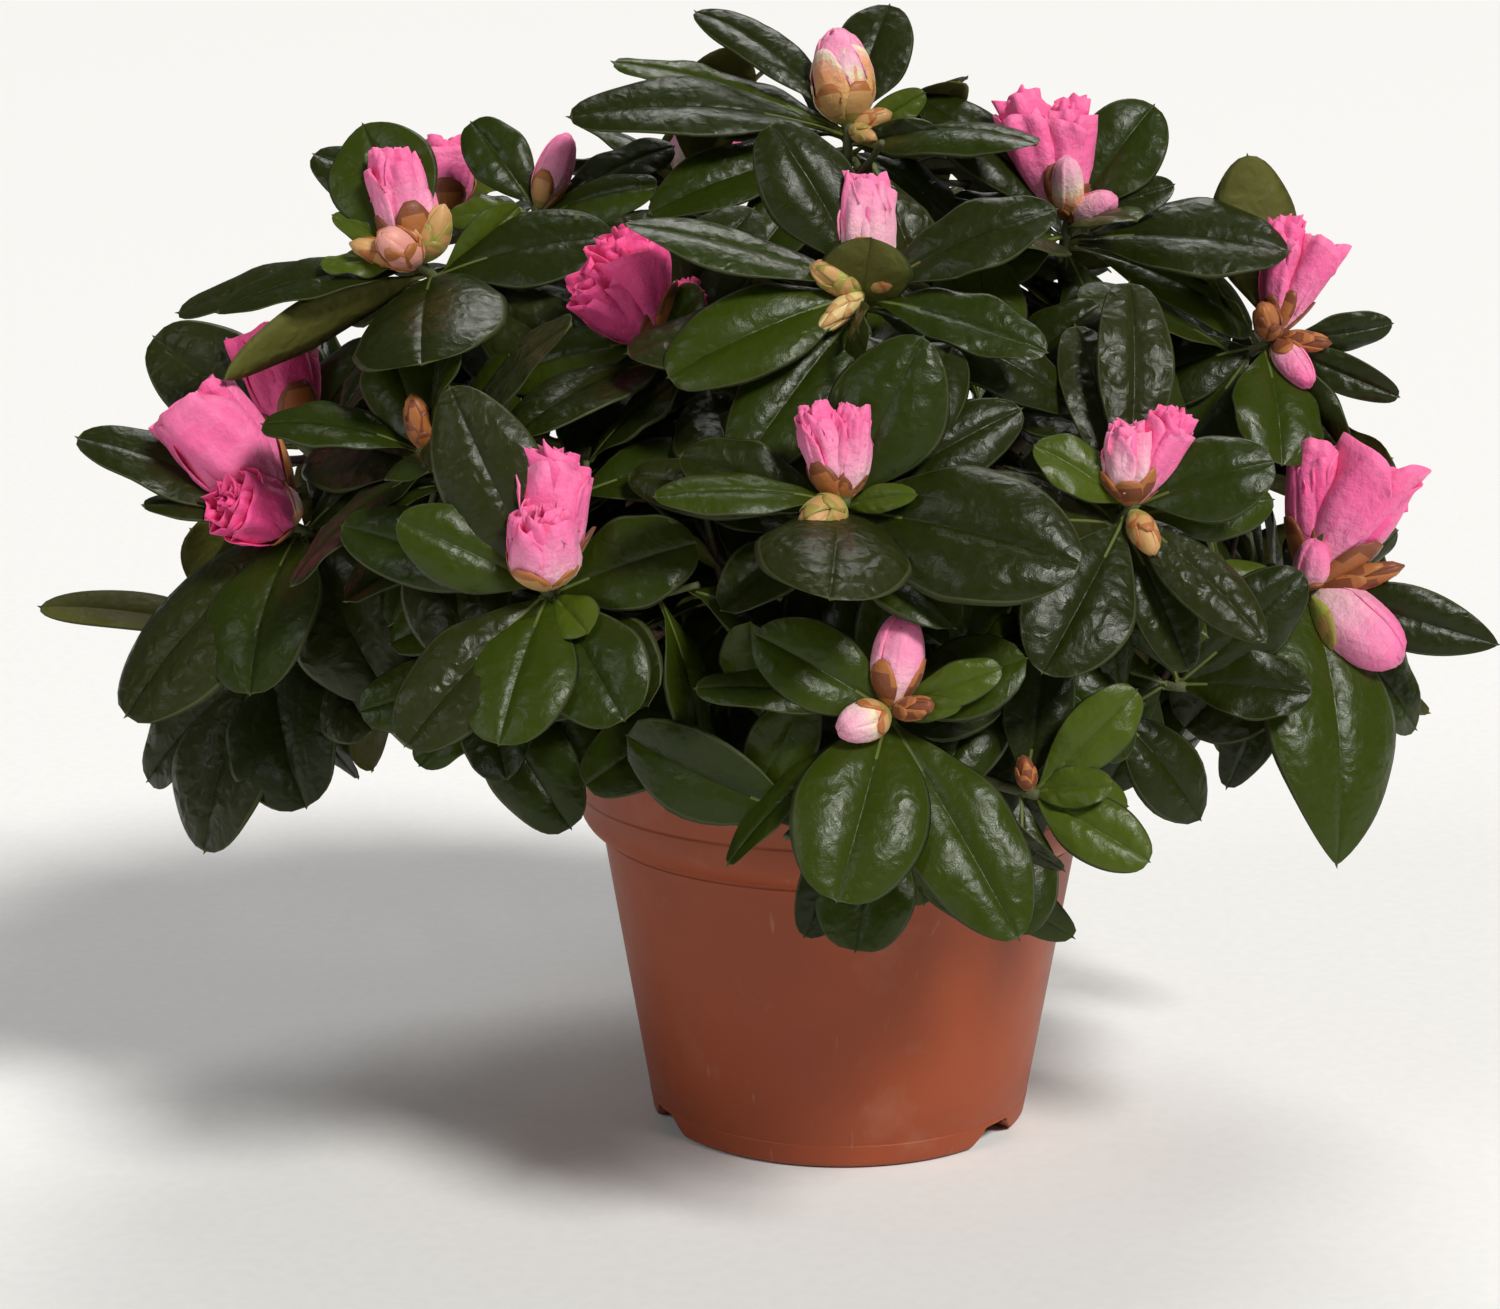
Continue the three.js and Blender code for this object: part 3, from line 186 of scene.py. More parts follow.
# The part of the crown that isn't seen: rings of whorls, each at its turns round the plant.
BACK_RINGS = {
    "skirt": dict(rise=2, turns=(98, 124, 152, 180, 208, 236, 262), whorl=8),
    "waist": dict(rise=22, turns=(104, 136, 168, 200, 228, 256), whorl=9),
    "neck": dict(rise=48, turns=(124, 160, 196, 232), whorl=9),
    "cap": dict(rise=74, turns=(150, 215), whorl=9),
}
# How far such a whorl sways from its place in degrees, its reach, and how many of them carry blooms.
RING = dict(seed=900, sway=8, reach=0.93, reachSpread=0.1, blooming=0.55)

# Which limb each bough and branch leaves, and how far along it.
BRANCHING = {
    "trunk": dict(bough_front=0.5, bough_left=0.72, bough_right=0.38, bough_back_left=0.4,
                  bough_back_right=0.74, bough_back=0.56, bough_top=1),
    "bough_front": dict(branch_upper_front=0.5, branch_low_front=0.34),
    "bough_left": dict(branch_upper_left=0.52, branch_front_left=0.36),
    "bough_right": dict(branch_upper_right=0.52, branch_front_right=0.36),
    "bough_back_left": dict(branch_high_left=0.5),
    "bough_back_right": dict(branch_high_right=0.5),
    "bough_back": dict(branch_low_back=0.42),
    "bough_top": dict(branch_high_back=0.5),
}

# Which shoots each mass of foliage holds.
MASSES = {"foliage_" + part: names.split() for part, names in dict(
    top="crest cap_0",
    upper_left="upleft peek shelf",
    upper_front="recess brow nookhigh",
    upper_right="brink shoulder",
    front="centre nookmid",
    front_left="port nookleft lowmidleft",
    left="left backleft lowleft",
    low_front="low hem lowmid lowright",
    front_right="flank nookright ledge",
    right="right waist_0 skirt_0",
    back_right="skirt_1 waist_1",
    high_right="neck_0 neck_1",
    back="waist_2 waist_3",
    low_back="skirt_2 skirt_3 skirt_4",
    back_left="skirt_5 skirt_6 waist_5",
    high_left="waist_4 neck_3",
    high_back="neck_2 cap_1",
).items()}


# Small vector sums.
def rad(degrees):
    return degrees * math.pi / 180


def add(a, b):
    return (a[0] + b[0], a[1] + b[1], a[2] + b[2])


def sub(a, b):
    return (a[0] - b[0], a[1] - b[1], a[2] - b[2])


def mul(a, k):
    return (a[0] * k, a[1] * k, a[2] * k)


def dot(a, b):
    return a[0] * b[0] + a[1] * b[1] + a[2] * b[2]


def cross(a, b):
    return (a[1] * b[2] - a[2] * b[1], a[2] * b[0] - a[0] * b[2], a[0] * b[1] - a[1] * b[0])


def size(a):
    return math.sqrt(dot(a, a))


def unit(a):
    return mul(a, 1 / (size(a) or 1))


def mix(a, b, k):
    return add(mul(a, 1 - k), mul(b, k))


def across(v, axis):
    return sub(v, mul(axis, dot(v, axis)))


def turn_about(v, axis, angle):
    c, s = math.cos(angle), math.sin(angle)
    return add(add(mul(v, c), mul(cross(axis, v), s)), mul(axis, dot(axis, v) * (1 - c)))


def seeded(seed):
    """A repeatable stream of numbers from 0 to 1."""
    full = 0xFFFFFFFF
    state = [seed & full]

    def step():
        state[0] = (state[0] + 0x6D2B79F5) & full
        s = state[0]
        t = ((s ^ (s >> 15)) * (s | 1)) & full
        t = (t ^ ((t + (t ^ (t >> 7)) * (t | 61)) & full)) & full
        return ((t ^ (t >> 14)) & full) / 4294967296

    return step


# Skeleton.
def path(start, leave, to, arrive, steps):
    """A curve from one point to another that leaves and arrives along given directions."""
    pull = size(sub(to, start)) / 3
    b, c = add(start, mul(leave, pull)), sub(to, mul(arrive, pull))
    points = []
    for i in range(steps + 1):
        t = i / steps
        u = 1 - t
        near = add(mul(start, u * u * u), mul(b, 3 * u * u * t))
        far = add(mul(c, 3 * u * t * t), mul(to, t * t * t))
        points.append(add(near, far))
    return points


def along(points, t):
    place = min(t, 0.9999) * (len(points) - 1)
    i = int(place)
    return mix(points[i], points[i + 1], place - i), unit(sub(points[i + 1], points[i]))


def down_twig(points, down):
    """The point that lies a given length down a twig from its tip."""
    left = down
    for i in range(len(points) - 1, 0, -1):
        step = size(sub(points[i - 1], points[i]))
        if left <= step:
            return mix(points[i], points[i - 1], left / step)
        left -= step
    return points[0]


def taper(points, base, tip):
    return [base + (tip - base) * i / (len(points) - 1) for i in range(len(points))]


def back_sprays():
    """The whorls of the part that isn't seen, each a little off its place in its ring."""
    found = {}
    seed = RING["seed"]
    for ring, spec in BACK_RINGS.items():
        for i, turn in enumerate(spec["turns"]):
            rand = seeded(seed)
            seed += 1
            aside = rad(turn + RING["sway"] * (rand() - 0.5))
            lift = rad(spec["rise"] + RING["sway"] * (rand() - 0.5))
            reach = RING["reach"] + RING["reachSpread"] * rand()
            way = (math.sin(aside) * math.cos(lift), -math.cos(aside) * math.cos(lift), math.sin(lift))
            at = add(HEART, tuple(way[j] * REACH[j] * reach for j in range(3)))
            blooms = 2 if rand() < RING["blooming"] else 0
            found["%s_%d" % (ring, i)] = dict(at=at, more=spec["whorl"], leaves=[], buds=[], blooms=blooms)
    return found


def grow_limbs(sprays):
    """The trunk, and each bough or branch from its parent toward the middle of the shoots that it carries."""
    trunk_top = (TRUNK["lean"][0], TRUNK["lean"][1], TRUNK["top"])
    trunk = path((0, 0, SOIL["top"] + GAP), (0, 0, 1), trunk_top, unit(TRUNK["topWay"]), TRUNK["steps"])
    limbs = {"trunk": dict(points=trunk, radii=taper(trunk, TRUNK["foot"], TRUNK["tip"]))}
    limbs["trunk"]["radii"][0] = TRUNK["flare"]
    for parent, name, at in [(parent, *limb) for parent, made in BRANCHING.items() for limb in made.items()]:
        mass = "foliage_" + name.split("_", 1)[1]
        goal = (0, 0, 0)
        for spray in MASSES[mass]:
            goal = add(goal, sprays[spray]["at"])
        goal = mul(goal, 1 / len(MASSES[mass]))
        begin, way = along(limbs[parent]["points"], at)
        end = mix(trunk_top, goal, LIMB["reach"])
        if at == 1:
            begin = add(limbs[parent]["points"][-1], mul(way, GAP))
            leave = way
        else:
            leave = unit(mix(way, unit(sub(end, begin)), LIMB["turn"]))
        points = path(begin, leave, end, unit(sub(goal, end)), LIMB["steps"])
        base = LIMB["base"] if parent == "trunk" else LIMB["sideBase"]
        limbs[name] = dict(points=points, radii=taper(points, base, LIMB["tip"]), goal=goal, mass=mass)
    return limbs


def grow_twigs(sprays, limbs):
    """A stem carries on from each limb, and a twig leaves it for each shoot."""
    twigs = []
    for limb in list(limbs.values())[1:]:
        tip_way = along(limb["points"], 1)[1]
        begin = add(limb["points"][-1], mul(tip_way, GAP))
        fork = mix(begin, limb["goal"], STEM["reach"])
        mass = limb["mass"]
        stem = path(begin, tip_way, fork, unit(sub(limb["goal"], fork)), STEM["steps"])
        twigs.append(dict(points=stem, radii=taper(stem, STEM["base"], STEM["tip"]), mass=mass))
        for i, name in enumerate(MASSES[mass]):
            spray = sprays[name]
            rand = seeded(spray["seed"] + 400)
            place = TWIG["firstJoin"] if i == 0 else TWIG["join"] + TWIG["joinSpread"] * rand()
            join, way = along(stem, place)
            leave = unit(mix(way, unit(sub(spray["at"], join)), TWIG["turn"]))
            points = path(join, leave, spray["at"], spray["axis"], TWIG["steps"])
            twigs.append(dict(points=points, radii=taper(points, TWIG["base"], TWIG["tip"]), mass=mass))
            spray.update(twig=points, mass=mass)
    return twigs


def skeleton():
    sprays = {name: dict(spray) for name, spray in SPRAYS.items()}
    sprays.update(back_sprays())
    for seed, spray in enumerate(sprays.values(), 1):
        spray["seed"] = seed
        spray["axis"] = unit(add(unit(sub(spray["at"], HEART)), (0, 0, RISING)))
    limbs = grow_limbs(sprays)
    return sprays, limbs, grow_twigs(sprays, limbs)


# Leaves, buds and blooms as plain forms, for keeping their places.
def midrib(leaf, t):
    """A leaf's midrib is an arc over the straight line from its root to its tip."""
    bend = leaf["bend"]
    rise = bend / 2 - bend * t
    chord = 2 * math.sin(bend / 2) / bend
    out = (math.sin(bend / 2) - math.sin(rise)) / bend / chord
    up = (math.cos(rise) - math.cos(bend / 2)) / bend / chord
    foot = add(leaf["root"], mul(leaf["way"], out * leaf["length"]))
    point = add(foot, mul(leaf["face"], up * leaf["length"]))
    face = add(mul(leaf["way"], -math.sin(rise)), mul(leaf["face"], math.cos(rise)))
    return point, face


def leaf_points(leaf, grow):
    """The points of a plain folded leaf that is grown by a clearance."""
    side = cross(leaf["way"], leaf["face"])
    points = [leaf["root"]]
    for t, wide, thick in LEAF_RINGS:
        point, face = midrib(leaf, t)
        out = mul(side, leaf["width"] / 2 * wide + grow)
        edge = add(point, mul(face, leaf["width"] * LEAF["fold"] * wide))
        deep = mul(face, thick / 2 + grow)
        points += [add(edge, out), add(point, deep), sub(edge, out), sub(point, deep)]
    return points + [add(midrib(leaf, 1)[0], mul(leaf["way"], grow))]


def bell(kind, t):
    return 0.35 + 0.65 * math.sin(rad(90 * t)) if kind == "bloom" else math.sin(math.pi * t ** 0.8)


def bud_points(bud, grow):
    side = unit(across((0.3, 0.9, 0.2), bud["way"]))
    points = [bud["root"]]
    for t in BUD_RINGS[bud["kind"]]:
        middle = add(bud["root"], mul(bud["way"], bud["length"] * t))
        for i in range(BUD_SIDES):
            arm = turn_about(side, bud["way"], 2 * math.pi * i / BUD_SIDES)
            points.append(add(middle, mul(arm, bud["width"] / 2 * bell(bud["kind"], t) + grow)))
    points.append(add(bud["root"], mul(bud["way"], bud["length"] + grow)))
    return points


def ring_faces(sides, rings):
    """Faces of a closed form made of a first point, rings of points and a last point."""
    faces = []
    last = 1 + rings * sides
    for i in range(sides):
        ways = [(1 + r * sides + i, 1 + r * sides + (i + 1) % sides) for r in range(rings)]
        faces.append((0, ways[0][1], ways[0][0]))
        for (a, b), (d, c) in zip(ways, ways[1:]):
            faces += [(a, b, c), (a, c, d)]
        faces.append((*ways[-1], last))
    return faces


def form(faces):
    """A plain form's faces and each of its edges once."""
    edges = sorted({(min(a, b), max(a, b)) for f in faces for a, b in zip(f, f[1:] + f[:1])})
    return np.array(faces), np.array(edges)


FORMS = {kind: form(ring_faces(sides, 2))
         for kind, sides in dict(leaf=4, bud=BUD_SIDES, bloom=BUD_SIDES).items()}


# Keeping each mass to its own space.
def pierced(starts, ends, triangles):
    """True if any of the lines from starts to ends goes through any of the triangles."""
    way = (ends - starts)[:, None, :]
    a = triangles[None, :, 0]
    e1, e2 = triangles[None, :, 1] - a, triangles[None, :, 2] - a
    h = np.cross(way, e2)
    det = np.einsum("ijk,ijk->ij", np.broadcast_to(e1, h.shape), h)
    safe = np.where(np.abs(det) < 1e-9, 1.0, det)
    s = starts[:, None, :] - a
    u = np.einsum("ijk,ijk->ij", s, h) / safe
    k = np.cross(s, e1)
    v = np.einsum("ijk,ijk->ij", np.broadcast_to(way, k.shape), k) / safe
    t = np.einsum("ijk,ijk->ij", np.broadcast_to(e2, k.shape), k) / safe
    hit = (np.abs(det) >= 1e-9) & (u >= 0) & (u <= 1) & (v >= 0) & (u + v <= 1) & (t >= 0) & (t <= 1)
    return bool(hit.any())


def body_of(item, grow):
    points = np.array(leaf_points(item, grow) if item["kind"] == "leaf" else bud_points(item, grow))
    faces, edges = FORMS[item["kind"]]
    middle = np.array(add(item["root"], mul(item["way"], item["length"] / 2)))
    radius = item["length"] / 2 + item["width"] / 2 + 2
    return dict(points=points, triangles=points[faces], starts=points[edges[:, 0]], ends=points[edges[:, 1]],
                middle=middle, radius=radius)


class Space:
    """The room that limbs, twigs, leaves and buds have taken."""

    def __init__(self, rods):
        self.a = np.array([rod["a"] for rod in rods])
        self.b = np.array([rod["b"] for rod in rods])
        self.radius = np.array([rod["radius"] for rod in rods])
        self.rod_mass = np.array([rod["mass"] for rod in rods])
        self.items = []
        self.middles = np.zeros((0, 3))
        self.reach = np.zeros(0)
        self.sprays = np.array([], dtype=str)

    def near_rods(self, points, keep):
        a, way = self.a[keep][None], (self.b - self.a)[keep][None]
        t = np.clip(((points[:, None] - a) * way).sum(2) / (way * way).sum(2), 0, 1)
        return np.linalg.norm(points[:, None] - (a + way * t[..., None]), axis=2) - self.radius[keep][None]

    def clear_of(self, item):
        big = body_of(item, LEAF["clear"])
        points = big["points"]
        samples = np.concatenate([points[1:], (points[1:-4] + points[5:]) / 2])
        out, high = np.hypot(samples[:, 0], samples[:, 1]), samples[:, 2]
        on_pot = (high < POT["height"] + POT_CLEAR["up"]) & (out < POT["rim"] + POT_CLEAR["out"])
        if on_pot.any() or (high < LOWEST).any():
            return False
        others = self.rod_mass != item["mass"]
        keep = others & (self.near_rods(big["middle"][None], np.ones(len(self.a), bool))[0] <= big["radius"])
        if keep.any():
            if (self.near_rods(samples, keep) < ROD_CLEAR).any():
                return False
            if pierced(self.a[keep], self.b[keep], big["triangles"]):
                return False
        if not self.items:
            return True
        apart = np.linalg.norm(self.middles - big["middle"], axis=1)
        close = np.nonzero((apart <= self.reach + big["radius"]) & (self.sprays != item["spray"]))[0]
        if not len(close):
            return True
        bodies = [self.items[i]["body"] for i in close]
        starts, ends, triangles = (np.concatenate([body[key] for body in bodies])
                                   for key in ("starts", "ends", "triangles"))
        return not (pierced(starts, ends, big["triangles"]) or pierced(big["starts"], big["ends"], triangles))

    def take(self, item):
        item["body"] = body_of(item, 0)
        self.items.append(item)
        self.middles = np.vstack([self.middles, item["body"]["middle"]])
        self.reach = np.append(self.reach, item["body"]["radius"])
        self.sprays = np.append(self.sprays, item["spray"])


# How a leaf is turned, tip and roll in degrees, and shrunk until it fits.
TRIES = ((0, 0), (7, 0), (-7, 0), (0, 14), (0, -14), (14, 8), (-14, 8), (22, -10), (-22, -10), (30, 0),
         (-30, 0))
SHRINK = 0.86


def settle(item, space, tries=TRIES):
    """Shifts a leaf in small steps until it clears the other masses, or leaves it out."""
    for tip, roll in tries:
        for shrink in (1, SHRINK):
            side = cross(item["way"], item["face"])
            way = turn_about(item["way"], side, rad(tip))
            face = turn_about(turn_about(item["face"], side, rad(tip)), way, rad(roll))
            length, width = item["length"] * shrink, item["width"] * shrink
            moved = dict(item, way=way, face=face, length=length, width=width)
            if space.clear_of(moved):
                space.take(moved)
                return


# The rule that sets leaves and buds round a shoot tip.
SEEN_RIGHT = (1, 0, 0)
SEEN_UP = (0, math.sin(rad(VIEW_TILT)), math.cos(rad(VIEW_TILT)))
SEEN_FRONT = (0, -math.cos(rad(VIEW_TILT)), math.sin(rad(VIEW_TILT)))


def seen_way(hours, lean):
    clock = rad(hours * 30)
    flat = add(mul(SEEN_RIGHT, math.sin(clock)), mul(SEEN_UP, math.cos(clock)))
    return unit(add(mul(flat, math.cos(rad(lean))), mul(SEEN_FRONT, math.sin(rad(lean)))))


def fan_way(axis, turn, opened, droop):
    """The way of a leaf that opens from its shoot: its turn round the shoot and its opening in degrees."""
    lean = turn_about(unit(across((0.9, 0.2, 0.4), axis)), axis, rad(turn))
    fan = add(mul(axis, math.cos(rad(opened))), mul(lean, math.sin(rad(opened))))
    return unit(add(fan, (0, 0, -droop)))


def item_at(kind, spray, name, down, way, length, width):
    return dict(kind=kind, spray=name, mass=spray["mass"], root=down_twig(spray["twig"], down), way=way,
                length=length, width=width)


def make_leaf(spray, name, down, way, length, width, roll, bend, to_front):
    up = add(add(spray["axis"], (0, 0, 0.35)), mul(SEEN_FRONT, to_front))
    face = turn_about(unit(across(up, way)), way, rad(roll))
    return dict(item_at("leaf", spray, name, down, way, length, width), face=face, bend=rad(bend))


def shown_items(name, spray):
    rand = seeded(spray["seed"] * 31 + 7)
    items = []
    for hours, lean, length, width, kind in spray["buds"]:
        items.append(item_at(kind, spray, name, JOIN, seen_way(hours, lean), length + 1, width))
    for i, (hours, lean, length, width, *roll) in enumerate(spray["leaves"]):
        leaf = make_leaf(spray, name, 1.5 + 0.7 * i, seen_way(hours, lean), length, width * LEAF["broad"],
                         roll[0] if roll else 0, 18 + 22 * rand(), 1.3)
        items.append(dict(leaf, place=i))
    return items


def rule_items(name, spray):
    rand = seeded(spray["seed"] * 77 + 3)
    side = unit(across((0.9, 0.2, 0.4), spray["axis"]))
    items = []
    for i in range(spray.get("blooms", 0)):
        lean = turn_about(side, spray["axis"], rad(180 * i + 60 * rand()))
        way = unit(add(spray["axis"], mul(lean, 0.35)))
        kind = "bloom" if i == 0 else "bud"
        length = 22 + 6 * rand() if kind == "bloom" else 12 + 3 * rand()
        width = 12 + 5 * rand() if kind == "bloom" else 7 + rand()
        items.append(item_at(kind, spray, name, JOIN, way, length, width))
    listed = len(spray["leaves"])
    for i in range(spray["more"]):
        part = 0.6 + 0.4 * (i + 1) / spray["more"] if listed else (i + 1) / spray["more"]
        opened = WHORL["open"] + WHORL["spread"] * part + WHORL["wobble"] * (rand() - 0.5)
        turn = GOLDEN * (i + listed) + WHORL["swing"] * rand()
        way = fan_way(spray["axis"], turn, opened, WHORL["droop"] * part)
        start = WHORL["shortLength"] if listed else WHORL["length"]
        length = start + WHORL["growth"] * part * (0.8 + 0.3 * rand())
        down = WHORL["down"] + WHORL["downStep"] * i + (6 + 2 * i if listed else 0)
        width = length * (0.45 + 0.1 * rand())
        roll = WHORL["roll"] * (rand() - 0.5)
        bend = WHORL["bend"] + WHORL["bendSpread"] * rand()
        items.append(make_leaf(spray, name, down, way, length, width, roll, bend, 0))
    return items


def rods_of(limbs, twigs):
    """Each straight length of limb and twig. A limb belongs to no mass."""
    rods = []
    for rod in [dict(limb, mass="") for limb in limbs.values()] + twigs:
        for a, b, radius in zip(rod["points"], rod["points"][1:], rod["radii"]):
            rods.append(dict(a=a, b=b, radius=radius, mass=rod["mass"]))
    return rods


def grow(sprays, limbs, twigs):
    """Buds and blooms take their places first, then leaves; the listed ones come before the rule's."""
    space = Space(rods_of(limbs, twigs))
    items = [item for made in (shown_items, rule_items) for name, spray in sprays.items()
             for item in made(name, spray)]
    for item in items:
        if item["kind"] != "leaf" and space.clear_of(item):
            space.take(item)
    for item in items:
        if item["kind"] == "leaf":
            settle(item, space)
    return space


# Finer side shoots and older leaves, which fill the shade inside the crown.
FILL = dict(places=(0.18, 0.4, 0.62, 0.84), length=22, lengthSpread=20, turn=1.1, leaves=8, open=30,
            spread=62, leaf=24, leafSpread=18, inside=0.98, base=0.95, tip=0.7, steps=4, low=84)
UNDER = dict(leaves=9, down=10, step=1.7, open=58, spread=44, leaf=26, leafSpread=12, inside=1.1, low=92,
             more=6, thin=("brink", "neck_0", "waist_0", "shoulder", "flank", "port", "left", "backleft",
                           "nookleft", "recess", "nookmid", "peek", "neck_3", "waist_5"))
# How such a leaf opens from its shoot: swings and rolls in degrees, its droop, and its width to its length.
FAN = dict(wobble=14, swing=30, droop=0.12, width=0.46, widthSpread=0.12, roll=16, bend=22, bendSpread=20)


def within_crown(item, inside, low):
    """True if a leaf keeps to the inner part of the crown, so that the outline stays as it is."""
    for point in leaf_points(item, 0)[1:]:
        off = sub(point, HEART)
        far = math.sqrt(sum((off[j] / REACH[j]) ** 2 for j in range(3)))
        if far > inside or point[2] < low:
            return False
    return True


def fan_leaf(shoot, name, number, down, opened, length, rand):
    """One leaf of a whorl, opened away from its shoot by so many degrees."""
    way = fan_way(shoot["axis"], GOLDEN * number + FAN["swing"] * rand(), opened, FAN["droop"])
    width = length * (FAN["width"] + FAN["widthSpread"] * rand())
    roll = FAN["roll"] * (rand() - 0.5)
    bend = FAN["bend"] + FAN["bendSpread"] * rand()
    return dict(make_leaf(shoot, name, down, way, length, width, roll, bend, 0), inner=True)


def older_leaves(sprays, space):
    """Below its newest whorl each shoot keeps some of last year's leaves."""
    for name, spray in sprays.items():
        rand = seeded(spray["seed"] * 71 + 5)
        for i in range(UNDER["leaves"] + (UNDER["more"] if name in UNDER["thin"] else 0)):
            part = (i % UNDER["leaves"] + 1) / UNDER["leaves"]
            opened = UNDER["open"] + UNDER["spread"] * part + FAN["wobble"] * (rand() - 0.5)
            length = UNDER["leaf"] + UNDER["leafSpread"] * rand()
            down = UNDER["down"] + UNDER["step"] * i
            leaf = fan_leaf(spray, name + "_older", i, down, opened, length, rand)
            if within_crown(leaf, UNDER["inside"], UNDER["low"]):
                settle(leaf, space, TRIES[:7])


def side_shoots(sprays, space):
    """Each twig carries short side shoots with small whorls, wherever they find room."""
    shoots = []
    for name, spray in sprays.items():
        rand = seeded(spray["seed"] * 53 + 11)
        turn = 360 * rand()
        for n, place in enumerate(FILL["places"]):
            begin, way = along(spray["twig"], place)
            side = unit(across((0.37, 0.61, 0.7), way))
            lean = turn_about(side, way, rad(turn + GOLDEN * n))
            out = unit(add(add(mul(way, 0.55), mul(lean, FILL["turn"])), (0, 0, 0.2)))
            length = FILL["length"] + FILL["lengthSpread"] * rand()
            end = add(begin, mul(unit(add(out, (0, 0, 0.15))), length))
            points = path(begin, out, end, unit(add(out, (0, 0, 0.3))), FILL["steps"])
            shoot = dict(twig=points, axis=unit(sub(points[-1], points[-2])), mass=spray["mass"])
            before = len(space.items)
            for i in range(FILL["leaves"]):
                part = (i + 1) / FILL["leaves"]
                opened = FILL["open"] + FILL["spread"] * part + FAN["wobble"] * (rand() - 0.5)
                long = FILL["leaf"] + FILL["leafSpread"] * part * (0.7 + 0.5 * rand())
                leaf = fan_leaf(shoot, "%s_side_%d" % (name, n), i, 1 + 1.2 * i, opened, long, rand)
                if within_crown(leaf, FILL["inside"], FILL["low"]):
                    settle(leaf, space, TRIES[:3])
            if len(space.items) > before:
                radii = taper(points, FILL["base"], FILL["tip"])
                shoots.append(dict(points=points, radii=radii, mass=spray["mass"]))
    return shoots


# Meshes.
def grid_faces(rows, cols, wrap=False):
    """Triangles of a grid of points given row by row. The last column joins the first where it wraps."""
    r, c = np.meshgrid(np.arange(rows - 1), np.arange(cols if wrap else cols - 1), indexing="ij")
    a = r * cols + c
    b = r * cols + (c + 1) % cols
    return np.stack([a, b, b + cols, a, b + cols, a + cols], -1).reshape(-1, 3)


def unit_rows(v):
    return v / np.maximum(np.linalg.norm(v, axis=-1, keepdims=True), 1e-9)


def gone(v, start, span):
    """How much of a span v has gone from its start, from 0 to 1."""
    return np.clip((v - start) / span, 0, 1)


def shell(grid, thick):
    """A closed thin form: a sheet of points, a second sheet under it, and a rim round both."""
    rows, cols = grid.shape[:2]
    normal = unit_rows(np.cross(np.gradient(grid, axis=1), np.gradient(grid, axis=0)))
    points = np.concatenate([grid.reshape(-1, 3), (grid - normal * thick).reshape(-1, 3)])
    count = rows * cols
    top = grid_faces(rows, cols)
    index = np.arange(count).reshape(rows, cols)
    loop = np.concatenate([index[0, :-1], index[:-1, -1], index[-1, :0:-1], index[:0:-1, 0]])
    after = np.roll(loop, -1)
    rim = np.stack([after, loop, loop + count, after, loop + count, after + count], -1).reshape(-1, 3)
    return points, np.concatenate([top, top[:, ::-1] + count, rim]), top


def capped_faces(rows, sides):
    """Triangles of rings of points, closed by the last two points: the middles of the foot and the head."""
    ring = np.arange(sides)
    after = (ring + 1) % sides
    count = rows * sides
    last = count - sides
    foot = np.stack([np.full(sides, count), after, ring], -1)
    head = np.stack([np.full(sides, count + 1), ring + last, after + last], -1)
    return np.concatenate([grid_faces(rows, sides, True), foot, head])


def tube(points, radii, sides, relief):
    """A closed tube along a curve, with a radius for each point and a relief for each side."""
    points = np.array(points, float)
    ways = unit_rows(np.gradient(points, axis=0))
    side = np.array(unit(across((0.31, 0.83, 0.27), tuple(ways[0]))))
    turns = 2 * np.pi * np.arange(sides) / sides
    rings = []
    for i, way in enumerate(ways):
        side = side - way * side.dot(way)
        side = side / np.linalg.norm(side)
        other = np.cross(way, side)
        spread = np.cos(turns)[:, None] * side + np.sin(turns)[:, None] * other
        rings.append(points[i] + spread * (radii[i] + relief[i])[:, None])
    return np.vstack([*rings, points[0], points[-1]]), capped_faces(len(points), sides)


def put_in_scene(name, data):
    """A new object with its mesh, light or camera."""
    made = bpy.data.objects.new(name, data)
    bpy.context.scene.collection.objects.link(made)
    return made


class Batch:
    """Gathers the triangles of many small forms and makes one object of them."""

    def __init__(self):
        self.points = []
        self.faces = []
        self.tones = []
        self.count = 0

    def add(self, points, faces, tones):
        self.points.append(points)
        self.faces.append(faces + self.count)
        self.tones.append(np.broadcast_to(tones, len(faces)))
        self.count += len(points)

    def build(self, name, materials):
        points = np.concatenate(self.points) * MM
        faces = np.concatenate(self.faces)
        mesh = bpy.data.meshes.new(name)
        mesh.vertices.add(len(points))
        mesh.vertices.foreach_set("co", points.astype(np.float32).ravel())
        mesh.loops.add(faces.size)
        mesh.loops.foreach_set("vertex_index", faces.astype(np.int32).ravel())
        mesh.polygons.add(len(faces))
        mesh.polygons.foreach_set("loop_start", np.arange(0, faces.size, 3, dtype=np.int32))
        mesh.polygons.foreach_set("material_index", np.concatenate(self.tones).astype(np.int32))
        mesh.update(calc_edges=True)
        mesh.validate()
        mesh.shade_smooth()
        for material in materials:
            mesh.materials.append(material)
        piece = put_in_scene(name, mesh)
        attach(piece, "root")
        return piece


def smooth_curve(points, steps):
    """A smooth curve through the points, with a number of steps between each two."""
    p = np.array(points, float)
    p = np.vstack([2 * p[0] - p[1], p, 2 * p[-1] - p[-2]])
    made = []
    for i in range(1, len(p) - 2):
        for k in range(steps):
            t = k / steps
            made.append(0.5 * (2 * p[i] + (p[i + 1] - p[i - 1]) * t
                               + (2 * p[i - 1] - 5 * p[i] + 4 * p[i + 1] - p[i + 2]) * t * t
                               + (3 * p[i] - p[i - 1] - 3 * p[i + 1] + p[i + 2]) * t ** 3))
    made.append(p[-2])
    return np.array(made)


